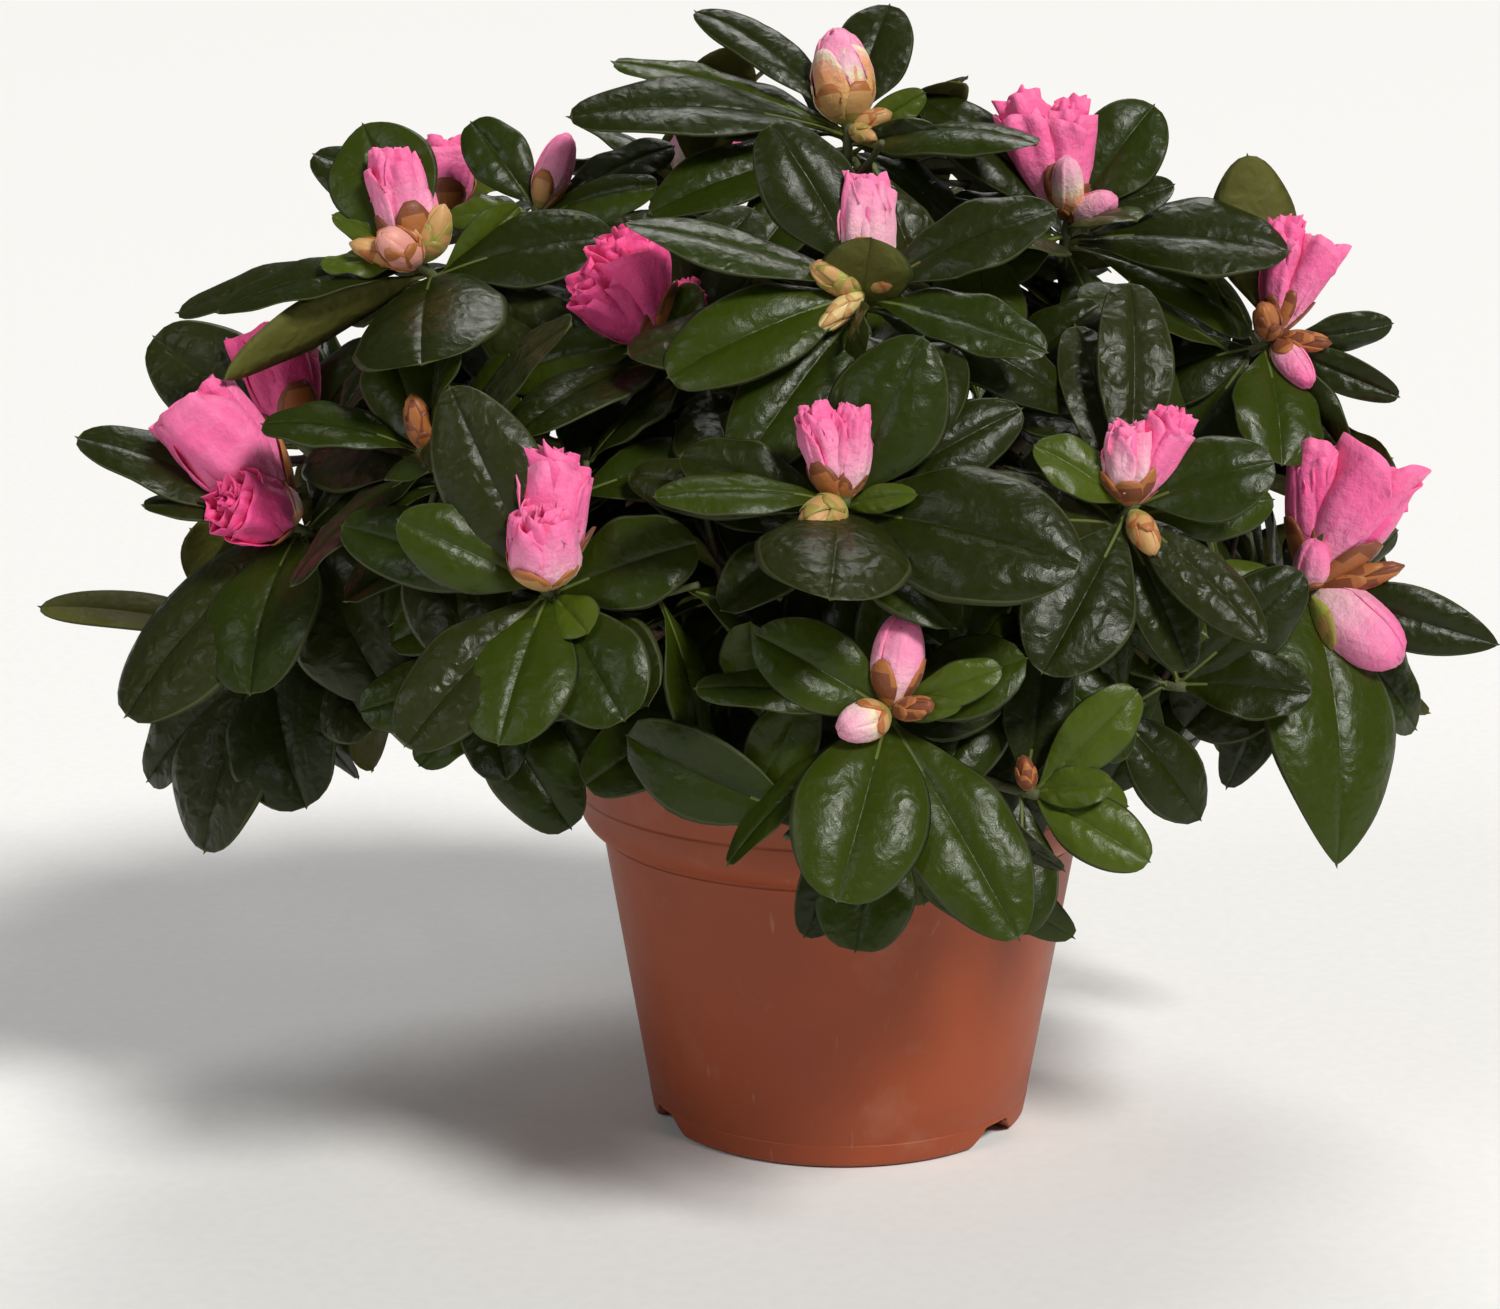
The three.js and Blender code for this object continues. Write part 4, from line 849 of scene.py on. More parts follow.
def smooth_radii(radii, steps):
    places = np.linspace(0, len(radii) - 1, (len(radii) - 1) * steps + 1)
    return np.interp(places, np.arange(len(radii)), radii)


# Leaves. A look is a colour, its roughness, the strength of the net of veins and how many cells it has to a
# metre. A tone is the number of a look.
LEAF_LOOKS = {
    "leaf_dark": ((0.0135, 0.0200, 0.0015), 0.31, 0.20, 230),
    "leaf_deep": ((0.019, 0.0300, 0.0018), 0.30, 0.18, 240),
    "leaf_mid": ((0.029, 0.045, 0.0024), 0.30, 0.15, 250),
    "leaf_old": ((0.019, 0.024, 0.0038), 0.33, 0.45, 200),
    "leaf_young": ((0.057, 0.084, 0.0055), 0.31, 0.12, 270),
    "leaf_under": ((0.092, 0.094, 0.0180), 0.6, 0.3, 240),
    "leaf_rib": ((0.100, 0.125, 0.030), 0.45, 0.05, 300),
    "leaf_edge": ((0.045, 0.055, 0.018), 0.42, 0.05, 300),
}
TONE = {name: i for i, name in enumerate(LEAF_LOOKS)}
FINE = dict(rows=27, spans=(0.24, 0.48, 0.72, 0.93, 1))
PLAIN = dict(rows=13, spans=(0.45, 0.9, 1))
# Where the blade begins, and where its fine point does.
BLADE = 0.05
MUCRO = 0.978


def blade_half(t, width, look):
    """Half the blade's width at each place: a leaf stalk, an egg-shaped blade and a fine point."""
    stalk = 0.62 - 0.25 * t
    u = gone(t, BLADE, MUCRO + 0.006 - BLADE)
    power = (1 - u) * look["foot"] + u * look["point"]
    blade = width / 2 * np.sin(np.pi * u ** look["egg"]) ** power
    return np.where(t < MUCRO, np.maximum(blade, np.where(t < 0.3, stalk, 0.3)), 0.26)


# Leaves whose outline or tone stands out in the photograph, by spray and place in its list.
SPECIAL_LEAVES = {
    ("right", 1): dict(egg=0.92, foot=0.9, point=0.78, fold=0.1, curl=0.25, pucker=0.2, old=False,
                       tone="leaf_mid"),
    ("right", 0): dict(egg=1.0, foot=0.9, point=0.7),
    ("brow", 8): dict(egg=1.0, foot=0.5, point=0.5, tone="leaf_under"),
    ("upleft", 5): dict(egg=1.1, foot=0.8, point=0.6, pucker=0.1),
    ("upleft", 6): dict(egg=1.0, foot=0.45, point=0.42, fold=0.0, curl=0.3),
    ("centre", 5): dict(egg=1.0, foot=0.5, point=0.45, fold=0.0, curl=0.3),
    ("centre", 4): dict(egg=1.15, foot=0.6, point=0.5, old=True),
    ("low", 5): dict(egg=1.15, foot=0.75, point=0.4, tone="leaf_mid"),
    ("low", 6): dict(egg=1.2, foot=0.9, point=0.5, tone="leaf_mid"),
    ("low", 2): dict(tone="leaf_young"),
    ("low", 0): dict(tone="leaf_mid"),
    ("low", 3): dict(tone="leaf_young"),
    ("lowright", 0): dict(tone="leaf_young"),
    ("lowright", 1): dict(egg=1.15, tone="leaf_young"),
    ("lowright", 2): dict(tone="leaf_young"),
    ("lowleft", 3): dict(tone="leaf_under", pucker=0.05, fold=0.3),
    ("left", 2): dict(egg=1.15, foot=0.7, point=0.4, old=True, tone="leaf_old"),
    ("left", 3): dict(egg=1.15, foot=0.7, point=0.4, tone="leaf_deep"),
    ("left", 4): dict(egg=1.15, foot=0.7, point=0.42, old=True, tone="leaf_old"),
    ("port", 3): dict(egg=1.2, foot=0.75, point=0.4, tone="leaf_mid"),
    ("port", 1): dict(tone="leaf_mid"),
}


def leaf_look(leaf, rand):
    """The small differences from leaf to leaf."""
    old = leaf["length"] > 38 and rand() < 0.5
    look = dict(
        egg=1.05 + 0.4 * rand(), foot=0.78 + 0.25 * rand(), point=0.36 + 0.08 * rand() + 0.2 * rand() ** 3,
        fold=0.06 + 0.24 * rand(), curl=0.1 + 0.3 * rand(), wave=0.2 + 0.7 * rand(), turns=1.5 + 1.8 * rand(),
        phase=6.3 * rand(), veins=5.5 + 2 * rand(), pucker=(0.42 if old else 0.16) + 0.2 * rand(),
        droop=0.03 * rand(), twist=0.3 * (rand() - 0.5), old=old)
    look.update(SPECIAL_LEAVES.get((leaf["spray"], leaf.get("place")), {}))
    return look


def leaf_tone(leaf, look, rand):
    draw = rand()
    if leaf["length"] < 25 and not leaf.get("inner"):
        return "leaf_young" if draw < 0.55 else "leaf_mid"
    if look["old"]:
        return "leaf_old" if draw < 0.6 else "leaf_dark"
    return "leaf_dark" if draw < 0.42 else "leaf_deep" if draw < 0.75 else "leaf_mid"


def leaf_spine(leaf, look, t):
    """A leaf's middle line, with the directions aside and upward at each place along it."""
    length, bend = leaf["length"], leaf["bend"]
    way, face = np.array(leaf["way"]), np.array(leaf["face"])
    side = np.cross(way, face)
    rise = bend / 2 - bend * t
    chord = 2 * math.sin(bend / 2) / bend
    out = (math.sin(bend / 2) - np.sin(rise)) / bend / chord * length
    up = (np.cos(rise) - math.cos(bend / 2)) / bend / chord * length
    up = up - length * look["droop"] * gone(t, 0.6, 0.4) ** 2
    spine = np.array(leaf["root"]) + out[:, None] * way + up[:, None] * face
    upward = -np.sin(rise)[:, None] * way + np.cos(rise)[:, None] * face
    turn = (look["twist"] * (t - 0.3))[:, None]
    return spine, side * np.cos(turn) + upward * np.sin(turn), upward * np.cos(turn) - side * np.sin(turn)


def leaf_lift(leaf, look, t, half, x, u):
    """How far the upper side stands off the middle line: its fold, its wavy edge, its puckers and its rib."""
    t = t[:, None]
    lobe = half[:, None] * (look["fold"] * u - look["curl"] * u ** 3)
    wave = look["wave"] * u ** 3 * np.sin(2 * np.pi * look["turns"] * t + look["phase"] + np.sign(x))
    along_vein = (t * leaf["length"] - 0.8 * np.abs(x)) / (leaf["length"] / look["veins"])
    swell = np.abs(np.sin(np.pi * along_vein + 0.4 * np.sign(x))) ** 0.7 - 0.45
    window = gone(u, 0.06, 0.2) * gone(1.02 - u, 0, 0.2) * np.sin(np.pi * t) ** 0.5
    grow_in = np.clip(half / (leaf["width"] / 2) * 1.4 - 0.2, 0, 1)[:, None]
    lift = lobe * grow_in + (wave + look["pucker"] * swell * window) * grow_in
    return lift - 0.22 * (u < 0.01) * (t > 0.1)


def side_faces(grid, root):
    """Triangles of one side of a leaf, with a fan from its root and one to its tip, the next point."""
    a, b, c, d = grid[:-1, :-1], grid[:-1, 1:], grid[1:, 1:], grid[1:, :-1]
    blade = np.stack([a, b, c, a, c, d], -1).reshape(-1, 3)
    root = np.full(grid.shape[1] - 1, root)
    foot = np.stack([root, grid[0, 1:], grid[0, :-1]], -1)
    tip = np.stack([grid[-1, :-1], grid[-1, 1:], root + 1], -1)
    return np.concatenate([blade, foot, tip])


def side_tones(look, tone, t, cols):
    """Tones of a leaf's upper side: its own, with a pale rib near the root, and an edge."""
    tones = np.full((len(t) - 1, cols - 1), tone)
    middle = cols // 2
    tones[t[:-1] < look["egg"] * 0.2 + 0.02, middle - 1:middle + 1] = TONE["leaf_rib"]
    tones[:, 0] = tones[:, -1] = TONE["leaf_edge"]
    tones[t[:-1] < 0.045] = TONE["leaf_rib"]
    tones[t[:-1] > MUCRO - 0.03] = TONE["leaf_edge"]
    fans = np.repeat([TONE["leaf_rib"], TONE["leaf_edge"]], cols - 1)
    return np.concatenate([np.repeat(tones.ravel(), 2), fans])


def add_leaf(batch, leaf, detail, number):
    """A leaf's upper side is a fine grid over its width, and its under side a coarse one."""
    rand = seeded(number * 97 + 5)
    look = leaf_look(leaf, rand)
    tone = TONE[look.get("tone") or leaf_tone(leaf, look, rand)]
    s = np.arange(1, detail["rows"]) / detail["rows"]
    t = np.append(0.7 * s + 0.15 * (1 - np.cos(np.pi * s)), MUCRO + 0.004)
    t = np.sort(t[(t < MUCRO - 0.004) | (t > MUCRO)])
    half = blade_half(t, leaf["width"], look)
    rib = np.minimum(0.34 - 0.2 * t, half * 0.45)
    right = rib[:, None] + (half - rib)[:, None] * np.array([0, *detail["spans"]])[None]
    x = np.concatenate([-right[:, ::-1], np.zeros((len(t), 1)), right], axis=1)
    spine, aside, upward = leaf_spine(leaf, look, t)
    lift = leaf_lift(leaf, look, t, half, x, np.abs(x) / half[:, None])
    top = spine[:, None] + x[..., None] * aside[:, None] + lift[..., None] * upward[:, None]
    rows, cols = top.shape[:2]
    middle = cols // 2
    picks = np.array([0, middle // 2, middle, cols - 1 - middle // 2, cols - 1])
    thick = (0.3 + 0.75 * np.clip(1 - t / 0.14, 0, 1) ** 1.5)[:, None] * np.array([0.6, 1, 1.6, 1, 0.6])[None]
    under = top[:, picks] - thick[..., None] * upward[:, None]
    end = spine[-1] + np.array(leaf["way"]) * leaf["length"] * (1 - t[-1])
    points = np.concatenate([top.reshape(-1, 3), under[:, 1:4].reshape(-1, 3), [leaf["root"], end]])
    index = np.arange(rows * cols).reshape(rows, cols)
    low = rows * cols + np.arange(rows * 3).reshape(rows, 3)
    low = np.concatenate([index[:, :1], low, index[:, -1:]], axis=1)
    root = len(points) - 2
    upper, lower = side_faces(index, root), side_faces(low, root)[:, ::-1]
    tones = np.concatenate([side_tones(look, tone, t, cols), np.full(len(lower), TONE["leaf_under"])])
    batch.add(points, np.concatenate([upper, lower]), tones)


# Blooms and buds. Each is a set of thin petals or scales wrapped round a rounded envelope. The tones of the
# petals run in steps from cream to deep pink, or from peach to lime.
PINKS = ((0.84, 0.70, 0.47), (0.90, 0.52, 0.58), (0.92, 0.33, 0.50), (0.93, 0.18, 0.40), (0.92, 0.085, 0.31),
         (0.78, 0.035, 0.20))
PETAL_STEPS = 18
PEACHES = ((0.86, 0.50, 0.36), (0.82, 0.34, 0.16), (0.70, 0.42, 0.13), (0.42, 0.42, 0.09))
PEACH_STEPS = 10
SCALE_LOOKS = {
    "rust": (0.200, 0.050, 0.012), "brown": (0.39, 0.130, 0.028), "tan": (0.53, 0.29, 0.10),
    "olive": (0.32, 0.25, 0.045), "green": (0.36, 0.38, 0.06), "pink": (0.76, 0.33, 0.27),
    "cream": (0.66, 0.50, 0.20),
}

# Places on the scale of petal tones, from 0, cream, to 1, deep pink, at even steps from foot to rim,
# first outside the bloom and then inside it. Places below 0 are on the scale from lime to peach.
COLOURINGS = {
    "soft": ((0.12, 0.30, 0.48, 0.55, 0.66), (0.45, 0.62, 0.74, 0.72, 0.62)),
    "rosy": ((0.30, 0.52, 0.66, 0.70, 0.60), (0.6, 0.75, 0.84, 0.8, 0.66)),
    "hot": ((0.25, 0.48, 0.64, 0.68, 0.60), (0.55, 0.72, 0.80, 0.76, 0.64)),
    "deep": ((0.60, 0.78, 0.88, 0.88, 0.80), (0.8, 0.96, 1.0, 0.94, 0.84)),
    "pale": ((0.06, 0.18, 0.30, 0.40, 0.52), (0.35, 0.5, 0.62, 0.62, 0.56)),
    "peach": ((-0.95, -0.72, -0.5, -0.25, 0.15), (-0.7, -0.35, 0.12, 0.38, 0.52)),
    "cream": ((-0.95, -0.45, 0.10, 0.28, 0.42), (0.1, 0.3, 0.5, 0.55, 0.5)),
}
SCALE_COLOURINGS = {name: names.split() for name, names in dict(
    brown="olive brown brown rust",
    rust="brown rust rust brown",
    olive="green olive tan brown",
    green="green green tan olive",
    tan="olive tan tan brown",
    pink="tan pink pink brown",
    cream="olive cream cream tan",
).items()}

# A layer is (petals, reach out from the middle, height, half the angle that a petal spans, flare, ruffle).
# "full" is the place along the bloom where it is widest, "narrow" how far it draws in again from there and
# "corner" how much a petal's corners are rounded off.
# Rows and columns of points in a petal, by its place, and in a scale.
PETAL_GRIDS = {"outer": (12, 23), "inner": (9, 19), "rule": (8, 11), "egg": (13, 13), "core": (9, 9)}
SCALE_GRID = (9, 7)
THICK = dict(petal=0.26, core=0.25, scale=0.28)
BLOOM_SHAPES = {
    "tulip": dict(top="open", full=0.4, narrow=0.3, corner=0.3,
                  layers=((4, 1.0, 0.92, 66, 0.0, 0.09), (4, 0.88, 1.0, 62, 0.0, 0.13),
                          (3, 0.64, 0.99, 76, 0.0, 0.22), (3, 0.38, 0.96, 80, 0.0, 0.26))),
    "ruffled": dict(top="open", full=0.52, narrow=0.0, corner=0.15,
                    layers=((3, 0.94, 0.86, 76, 0.08, 0.15), (3, 0.84, 0.96, 78, 0.02, 0.22),
                            (3, 0.62, 1.0, 84, 0.0, 0.32), (3, 0.4, 0.99, 92, 0.0, 0.36),
                            (2, 0.2, 0.96, 110, 0.0, 0.32))),
    "flared": dict(top="open", full=0.62, narrow=-0.08, corner=0.2,
                   layers=((3, 0.94, 0.98, 84, 0.08, 0.2), (3, 0.84, 0.94, 78, 0.04, 0.24),
                           (3, 0.6, 0.88, 82, 0.0, 0.28), (2, 0.34, 0.84, 110, 0.0, 0.28))),
    "egg": dict(top="closed", full=0.46, narrow=0.0, corner=0.0,
                layers=((3, 1.0, 1.0, 78, 0.0, 0.02), (3, 0.93, 0.99, 80, 0.0, 0.02))),
    "bud": dict(top="closed", full=0.36, narrow=0.0, corner=0.55,
                layers=((4, 1.06, 0.78, 56, 0.0, 0.04), (4, 1.0, 0.92, 58, 0.0, 0.04),
                        (4, 0.9, 1.0, 62, 0.0, 0.04))),
}


# How each listed bud or bloom looks, parted by commas: shape, colouring, number of scales at its foot, their
# colouring and, where they stand high, how far up they reach.
def looks(text):
    return [[float(word) if "." in word else int(word) if word.isdigit() else word for word in look.split()]
            for look in text.split(",")]


BUD_LOOKS = {name: looks(text) for name, text in dict(
    crest="bud peach 5 tan 0.5, scaly tan, scaly green",
    shelf="egg soft 3 tan",
    upleft="tulip soft 5 brown, scaly cream, scaly green, scaly pink, scaly tan",
    peek="ruffled hot 3 brown",
    recess="ruffled deep 3 brown, ruffled deep 2 brown, ruffled deep 2 brown",
    brow="tulip pale 4 tan, scaly green, scaly olive, scaly cream",
    brink="ruffled hot 3 brown, ruffled hot 3 brown, egg cream 3 rust, egg pale 3 brown",
    shoulder="ruffled rosy 3 brown, flared rosy 3 brown, scaly brown, scaly rust, egg soft 3 rust",
    flank="tulip pale 5 rust, ruffled rosy 3 brown, scaly olive",
    centre="tulip soft 4 brown, tulip soft 4 brown, scaly green",
    port="ruffled rosy 3 brown, tulip soft 4 tan 0.6",
    left="flared rosy 3 rust, ruffled deep 3 rust, egg cream 2 tan",
    backleft="flared deep 3 brown",
    nookleft="scaly brown",
    low="egg soft 3 rust 0.62, egg cream 5 olive 0.7, scaly rust",
    lowright="scaly rust",
    right="flared rosy 3 brown, flared hot 3 brown, egg soft 3 rust, scaly rust, egg soft 2 green",
).items()}
RULE_LOOKS = dict(
    bloom=looks("tulip soft 4 brown, ruffled hot 3 brown, egg soft 3 rust, flared rosy 3 brown"),
    bud=looks("scaly olive, scaly brown, scaly cream, egg cream 3 tan"))


def envelope(shape, t):
    """How wide the bloom stands at each place along it, as a part of its full half width."""
    rise = np.sin(np.pi / 2 * gone(t, 0, shape["full"])) ** 0.75
    if shape["top"] == "open":
        return rise * (1 - shape["narrow"] * gone(t, 0.5, 0.5) ** 2)
    return rise * np.sqrt(np.clip(1 - gone(t, 0.48, 0.52) ** 2.2, 0.004, 1))


def wander(a, rand, low, high, waves=4):
    """A smooth uneven curve across a petal, made of a few waves."""
    made = 0 * a
    for n in range(waves):
        turns = low + (high - low) * (n + rand()) / waves
        made = made + (0.6 + 0.4 * rand()) * np.sin(np.pi * turns * a + 6.3 * rand())
    return made / math.sqrt(waves)


def crumple(v, a, rand):
    """Small uneven folds over a petal, which run mostly lengthwise."""
    made = 0
    for _ in range(6):
        slant = (0.6 + 1.1 * rand()) * (1 if rand() < 0.5 else -1)
        made = made + np.sin(2 * np.pi * (slant * a + (0.3 + 1.2 * rand()) * v + rand()))
    return made / 2


def put_round(item, radius, angle, height):
    """Places points by their distance from a bloom's middle line, their angle round it and their height."""
    way = np.array(item["way"])
    first = np.array(unit(across((0.3, 0.9, 0.2), item["way"])))
    second = np.cross(way, first)
    return (np.array(item["root"]) + height[..., None] * way + (radius * np.cos(angle))[..., None] * first
            + (radius * np.sin(angle))[..., None] * second)


def petal_sheet(item, shape, turn, layer, rand, size_of):
    """A petal that wraps part of the way round the bloom: rows go up, columns go round."""
    reach, end, spread, flare, ruffle = layer
    v = np.linspace(0, 1, size_of[0])[:, None] ** 0.85
    a = np.linspace(-1, 1, size_of[1])[None]
    half = item["width"] / 2
    opens = shape["top"] == "open"
    late = gone(v, 0.4, 0.6) ** 1.6
    rim = gone(v, 0.72, 0.28) ** 1.5
    side, rise, crimp = wander(a, rand, 0.6, 2.4), wander(a, rand, 0.4, 1.8), wander(a, rand, 2.4, 4.6)
    folds = crumple(v, a, rand) * (0.25 + 0.75 * v) * (0.07 if opens else 0.018)
    tuck = 0.2 * (rand() - 0.5) if opens else 0
    widen = 0.4 + 0.6 * np.sin(gone(v, 0, 0.55) * np.pi / 2)
    drop = shape["corner"] * (0.75 * np.abs(a) ** 4 + 0.25 * a ** 2)
    t = end * (v - drop * v ** 4)
    form = envelope(shape, np.clip(t, 0, 1)) * reach * (1 + 0.06 * a)
    ruffled = ruffle * (0.7 * late * side + 0.42 * rim * crimp)
    radius = half * (form + flare * late + ruffled + folds + tuck * rim)
    radius = radius + 0.03 * half * wander(a, rand, 1.5, 5) * np.sin(np.pi * v)
    angle = rad(turn) + rad(spread) * widen * a + ruffle * rim * 0.6 * wander(a, rand, 0.8, 3)
    height = item["length"] * t + half * ruffle * (0.4 * late * rise + 0.17 * rim * crimp)
    radius = np.clip(radius, 0.06 * half, (1.12 + flare) * half)
    return put_round(item, radius, angle, np.minimum(height, 1.05 * item["length"]))


def scale_sheet(item, shape, turn, spread, end, layer, flare, rand):
    """A pointed scale that hugs the bloom or bud."""
    v = np.linspace(0, 1, SCALE_GRID[0])[:, None]
    a = np.linspace(-1, 1, SCALE_GRID[1])[None]
    half = item["width"] / 2
    widen = np.sin(np.pi * (0.3 + 0.66 * v)) ** 0.7
    t = 0.015 + (end - 0.015) * v
    late = gone(v, 0.5, 0.5) ** 2
    form = envelope(shape, t) * layer + 0.035 * np.sin(np.pi * v) + flare * late - 0.03 * np.abs(a) ** 2
    angle = rad(turn) + rad(spread) * widen * a + 0.06 * late * (rand() - 0.5)
    return put_round(item, np.maximum(half * form, 0.12 * half), angle, item["length"] * t + 0 * a)


def add_sheet(batch, grid, thick, outside, inside):
    """Adds a petal or scale with a tone for each face outside and inside."""
    points, faces, top = shell(grid, thick)
    rim = np.resize(outside[-1], len(faces) - 2 * len(top))
    batch.add(points, faces, np.concatenate([np.repeat(outside, 2), np.repeat(inside, 2), rim]))


def petal_tones(places, rows, cols, rand, shift):
    """The tones of a petal's faces, which run a little unevenly from vein to vein."""
    v = (np.arange(rows - 1)[:, None] + 0.5) / (rows - 1)
    streaks = np.cumsum([0.07 * (rand() - 0.5) for _ in range(cols - 1)])[None]
    streaks = streaks - streaks.mean() + 0.07 * np.array([rand() - 0.5 for _ in range(cols - 1)])[None]
    value = np.interp(v + streaks, np.linspace(0, 1, len(places)), places) + shift
    pink = np.clip(value * PETAL_STEPS, 0, PETAL_STEPS - 1)
    peach = PETAL_STEPS + np.clip(-value * PEACH_STEPS, 0, PEACH_STEPS - 1)
    return np.where(value >= 0, pink, peach).astype(int).ravel()


def scale_tones(names, rows, cols, rand):
    v = (np.arange(rows - 1)[:, None] + 0.5) / (rows - 1) + 0 * np.arange(cols - 1)[None]
    numbers = np.array([list(SCALE_LOOKS).index(name) for name in names])
    edge = np.abs(np.linspace(-1, 1, cols - 1))[None] > 0.9
    picks = np.clip((v + 0.14 * (rand() - 0.5)) * len(names), 0, len(names) - 1).astype(int)
    return np.where(edge & (v > 0.55), numbers[-1], numbers[picks]).ravel()


def add_scales(batch, item, shape, count, colouring, rand, whole, top=0.5):
    """Scales that overlap in a spiral: a whole scaly bud, or only the bracts at the foot of a bloom."""
    names = SCALE_COLOURINGS[colouring]
    turn = 360 * rand()
    if whole:
        size_of = PETAL_GRIDS["core"]
        for i in range(3):
            grid = petal_sheet(item, shape, 120 * i + turn, (0.86, 1, 80, 0, 0.02), rand, size_of)
            tones = scale_tones(names[1:3], *size_of, rand)
            add_sheet(batch, grid, THICK["core"], tones, tones)
    for i in range(count):
        share = (i + 1) / count
        if whole:
            end, layer, spread, flare = 1 - 0.6 * share, 0.93 + 0.1 * share, 54 - 6 * rand(), 0.03
            turn += GOLDEN
        else:
            end, layer, spread = top * (0.5 + 0.5 * rand()), 1.05 + 0.05 * rand(), 42 + 14 * rand()
            flare = 0.16 * rand() ** 2
            turn += 360 / count + 24 * (rand() - 0.5)
        grid = scale_sheet(item, shape, turn, spread, end, layer, flare, rand)
        tones = scale_tones(names, *SCALE_GRID, rand)
        add_sheet(batch, grid, THICK["scale"], tones, tones)


def add_bloom(petals, scales, item, look, number):
    rand = seeded(number * 131 + 17)
    if look[0] == "scaly":
        add_scales(scales, item, BLOOM_SHAPES["egg"], 9, look[1], rand, True)
        return
    shape = BLOOM_SHAPES[look[0]]
    listed = item["spray"] in BUD_LOOKS
    opens = shape["top"] == "open"
    outer, inner = COLOURINGS[look[1]]
    turn = 360 * rand()
    for depth, (count, reach, end, spread, flare, ruffle) in enumerate(shape["layers"]):
        grid_name = "egg" if not opens else "rule" if not listed else "inner" if depth > 1 else "outer"
        size_of = PETAL_GRIDS[grid_name]
        for i in range(count):
            short = 0.1 * rand() ** 2 if opens else 0
            layer = (reach + 0.05 * (rand() - 0.5), end - short, spread, flare * (0.4 + rand()), ruffle)
            around = turn + 360 * i / count + 16 * (rand() - 0.5)
            grid = petal_sheet(item, shape, around, layer, rand, size_of)
            shift = 0.07 * (rand() - 0.5)
            outside = petal_tones(outer if depth == 0 or look[0] == "egg" else inner, *size_of, rand, shift)
            add_sheet(petals, grid, THICK["petal"], outside, petal_tones(inner, *size_of, rand, shift))
        turn += 37
    if look[2]:
        add_scales(scales, item, shape, look[2], look[3], rand, False, *look[4:])


def look_of(item, place):
    listed = BUD_LOOKS.get(item["spray"])
    if listed and place < len(listed):
        return listed[place]
    choices = RULE_LOOKS[item["kind"]]
    return choices[int(item["length"] * 10) % len(choices)]


# Trunk, boughs and twigs.
def bark_relief(rows, sides, radii, seed, depth):
    """Shallow ridges along a limb, broken by rings where old leaves fell."""
    rng = np.random.RandomState(seed)
    turns = 2 * np.pi * np.arange(sides) / sides
    lengthwise = np.arange(rows)[:, None]
    relief = np.zeros((rows, sides))
    for lobes in (3, 5, 8):
        sway = 0.12 * lobes * np.sin(lengthwise * 0.35 + rng.rand() * 6)
        relief += np.cos(lobes * turns[None] + sway + rng.rand() * 6)
    relief += 0.8 * rng.standard_normal((rows, sides))
    rings = 1.4 * (np.cos(lengthwise * 2 * np.pi / 7 + rng.rand() * 6) > 0.93)
    return depth * np.array(radii)[:, None] * (relief / 3 + rings)


def barked(rod, steps, sides, seed, depth):
    """A limb or twig as a smooth tube with the relief of its bark, and the number of its rings of points."""
    radii = smooth_radii(rod["radii"], steps)
    relief = bark_relief(len(radii), sides, radii, seed, depth)
    return *tube(smooth_curve(rod["points"], steps), radii, sides, relief), len(radii)


def make_limbs(limbs):
    batch = Batch()
    for seed, limb in enumerate(limbs.values()):
        points, faces, _ = barked(limb, 7, 20 if seed == 0 else 14, seed, 0.05)
        batch.add(points, faces, 0)
    piece = batch.build("trunk_and_boughs", [bark_material()])
    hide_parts(*limbs)


def make_twigs(twigs, shoots):
    """Twigs run from woody and brown at the foot to green at the tip."""
    batch = Batch()
    sides = 8
    for number, twig in enumerate(twigs + shoots):
        points, faces, rows = barked(twig, 4, sides, number + 50, 0.04)
        place = np.repeat(np.arange(rows - 1) / (rows - 1), sides * 2)
        place = np.concatenate([place, np.zeros(sides), np.ones(sides)])
        batch.add(points, faces, np.where(place > 0.6, 1, 0))
    piece = batch.build("twigs", [twig_material("twig_brown", (0.085, 0.045, 0.022)),
                                  twig_material("twig_green", (0.075, 0.085, 0.026))])


# Pot and peat. The rough top of the peat lies a little below the solid's flat one.
SUNK = 0.9


def turned_mesh(profile, segments):
    """A closed form turned round the upright axis from [radius, height] points; both ends are on the axis."""
    turns = 2 * np.pi * np.arange(segments) / segments
    ring = np.array(profile[1:-1], float)
    grid = np.stack([ring[:, :1] * np.cos(turns), ring[:, :1] * np.sin(turns),
                     np.repeat(ring[:, 1:], segments, 1)], -1)
    points = np.vstack([grid.reshape(-1, 3), [0, 0, profile[0][1]], [0, 0, profile[-1][1]]])
    batch = Batch()
    batch.add(points, capped_faces(len(ring), segments), 0)
    return batch


def shoulder(inset, steps):
    """The rounded step from the wall up to the band, or the same line inside it by an inset."""
    made = []
    for i in range(steps + 1):
        a = rad(90 * i / steps)
        out = POT["wallTop"] + (POT["rim"] - POT["wallTop"]) * math.sin(a)
        z = POT["wallTopZ"] + (POT["shoulderZ"] - POT["wallTopZ"]) * (1 - math.cos(a))
        made.append((out - inset, z + inset * 0.35))
    return made


def line_round(radius, height, depth, width=0.5):
    """A fine moulded line round the pot: a shallow step in and out of the profile."""
    return [(radius, height - width), (radius - depth, height - width / 2),
            (radius - depth, height + width / 2), (radius, height + width)]


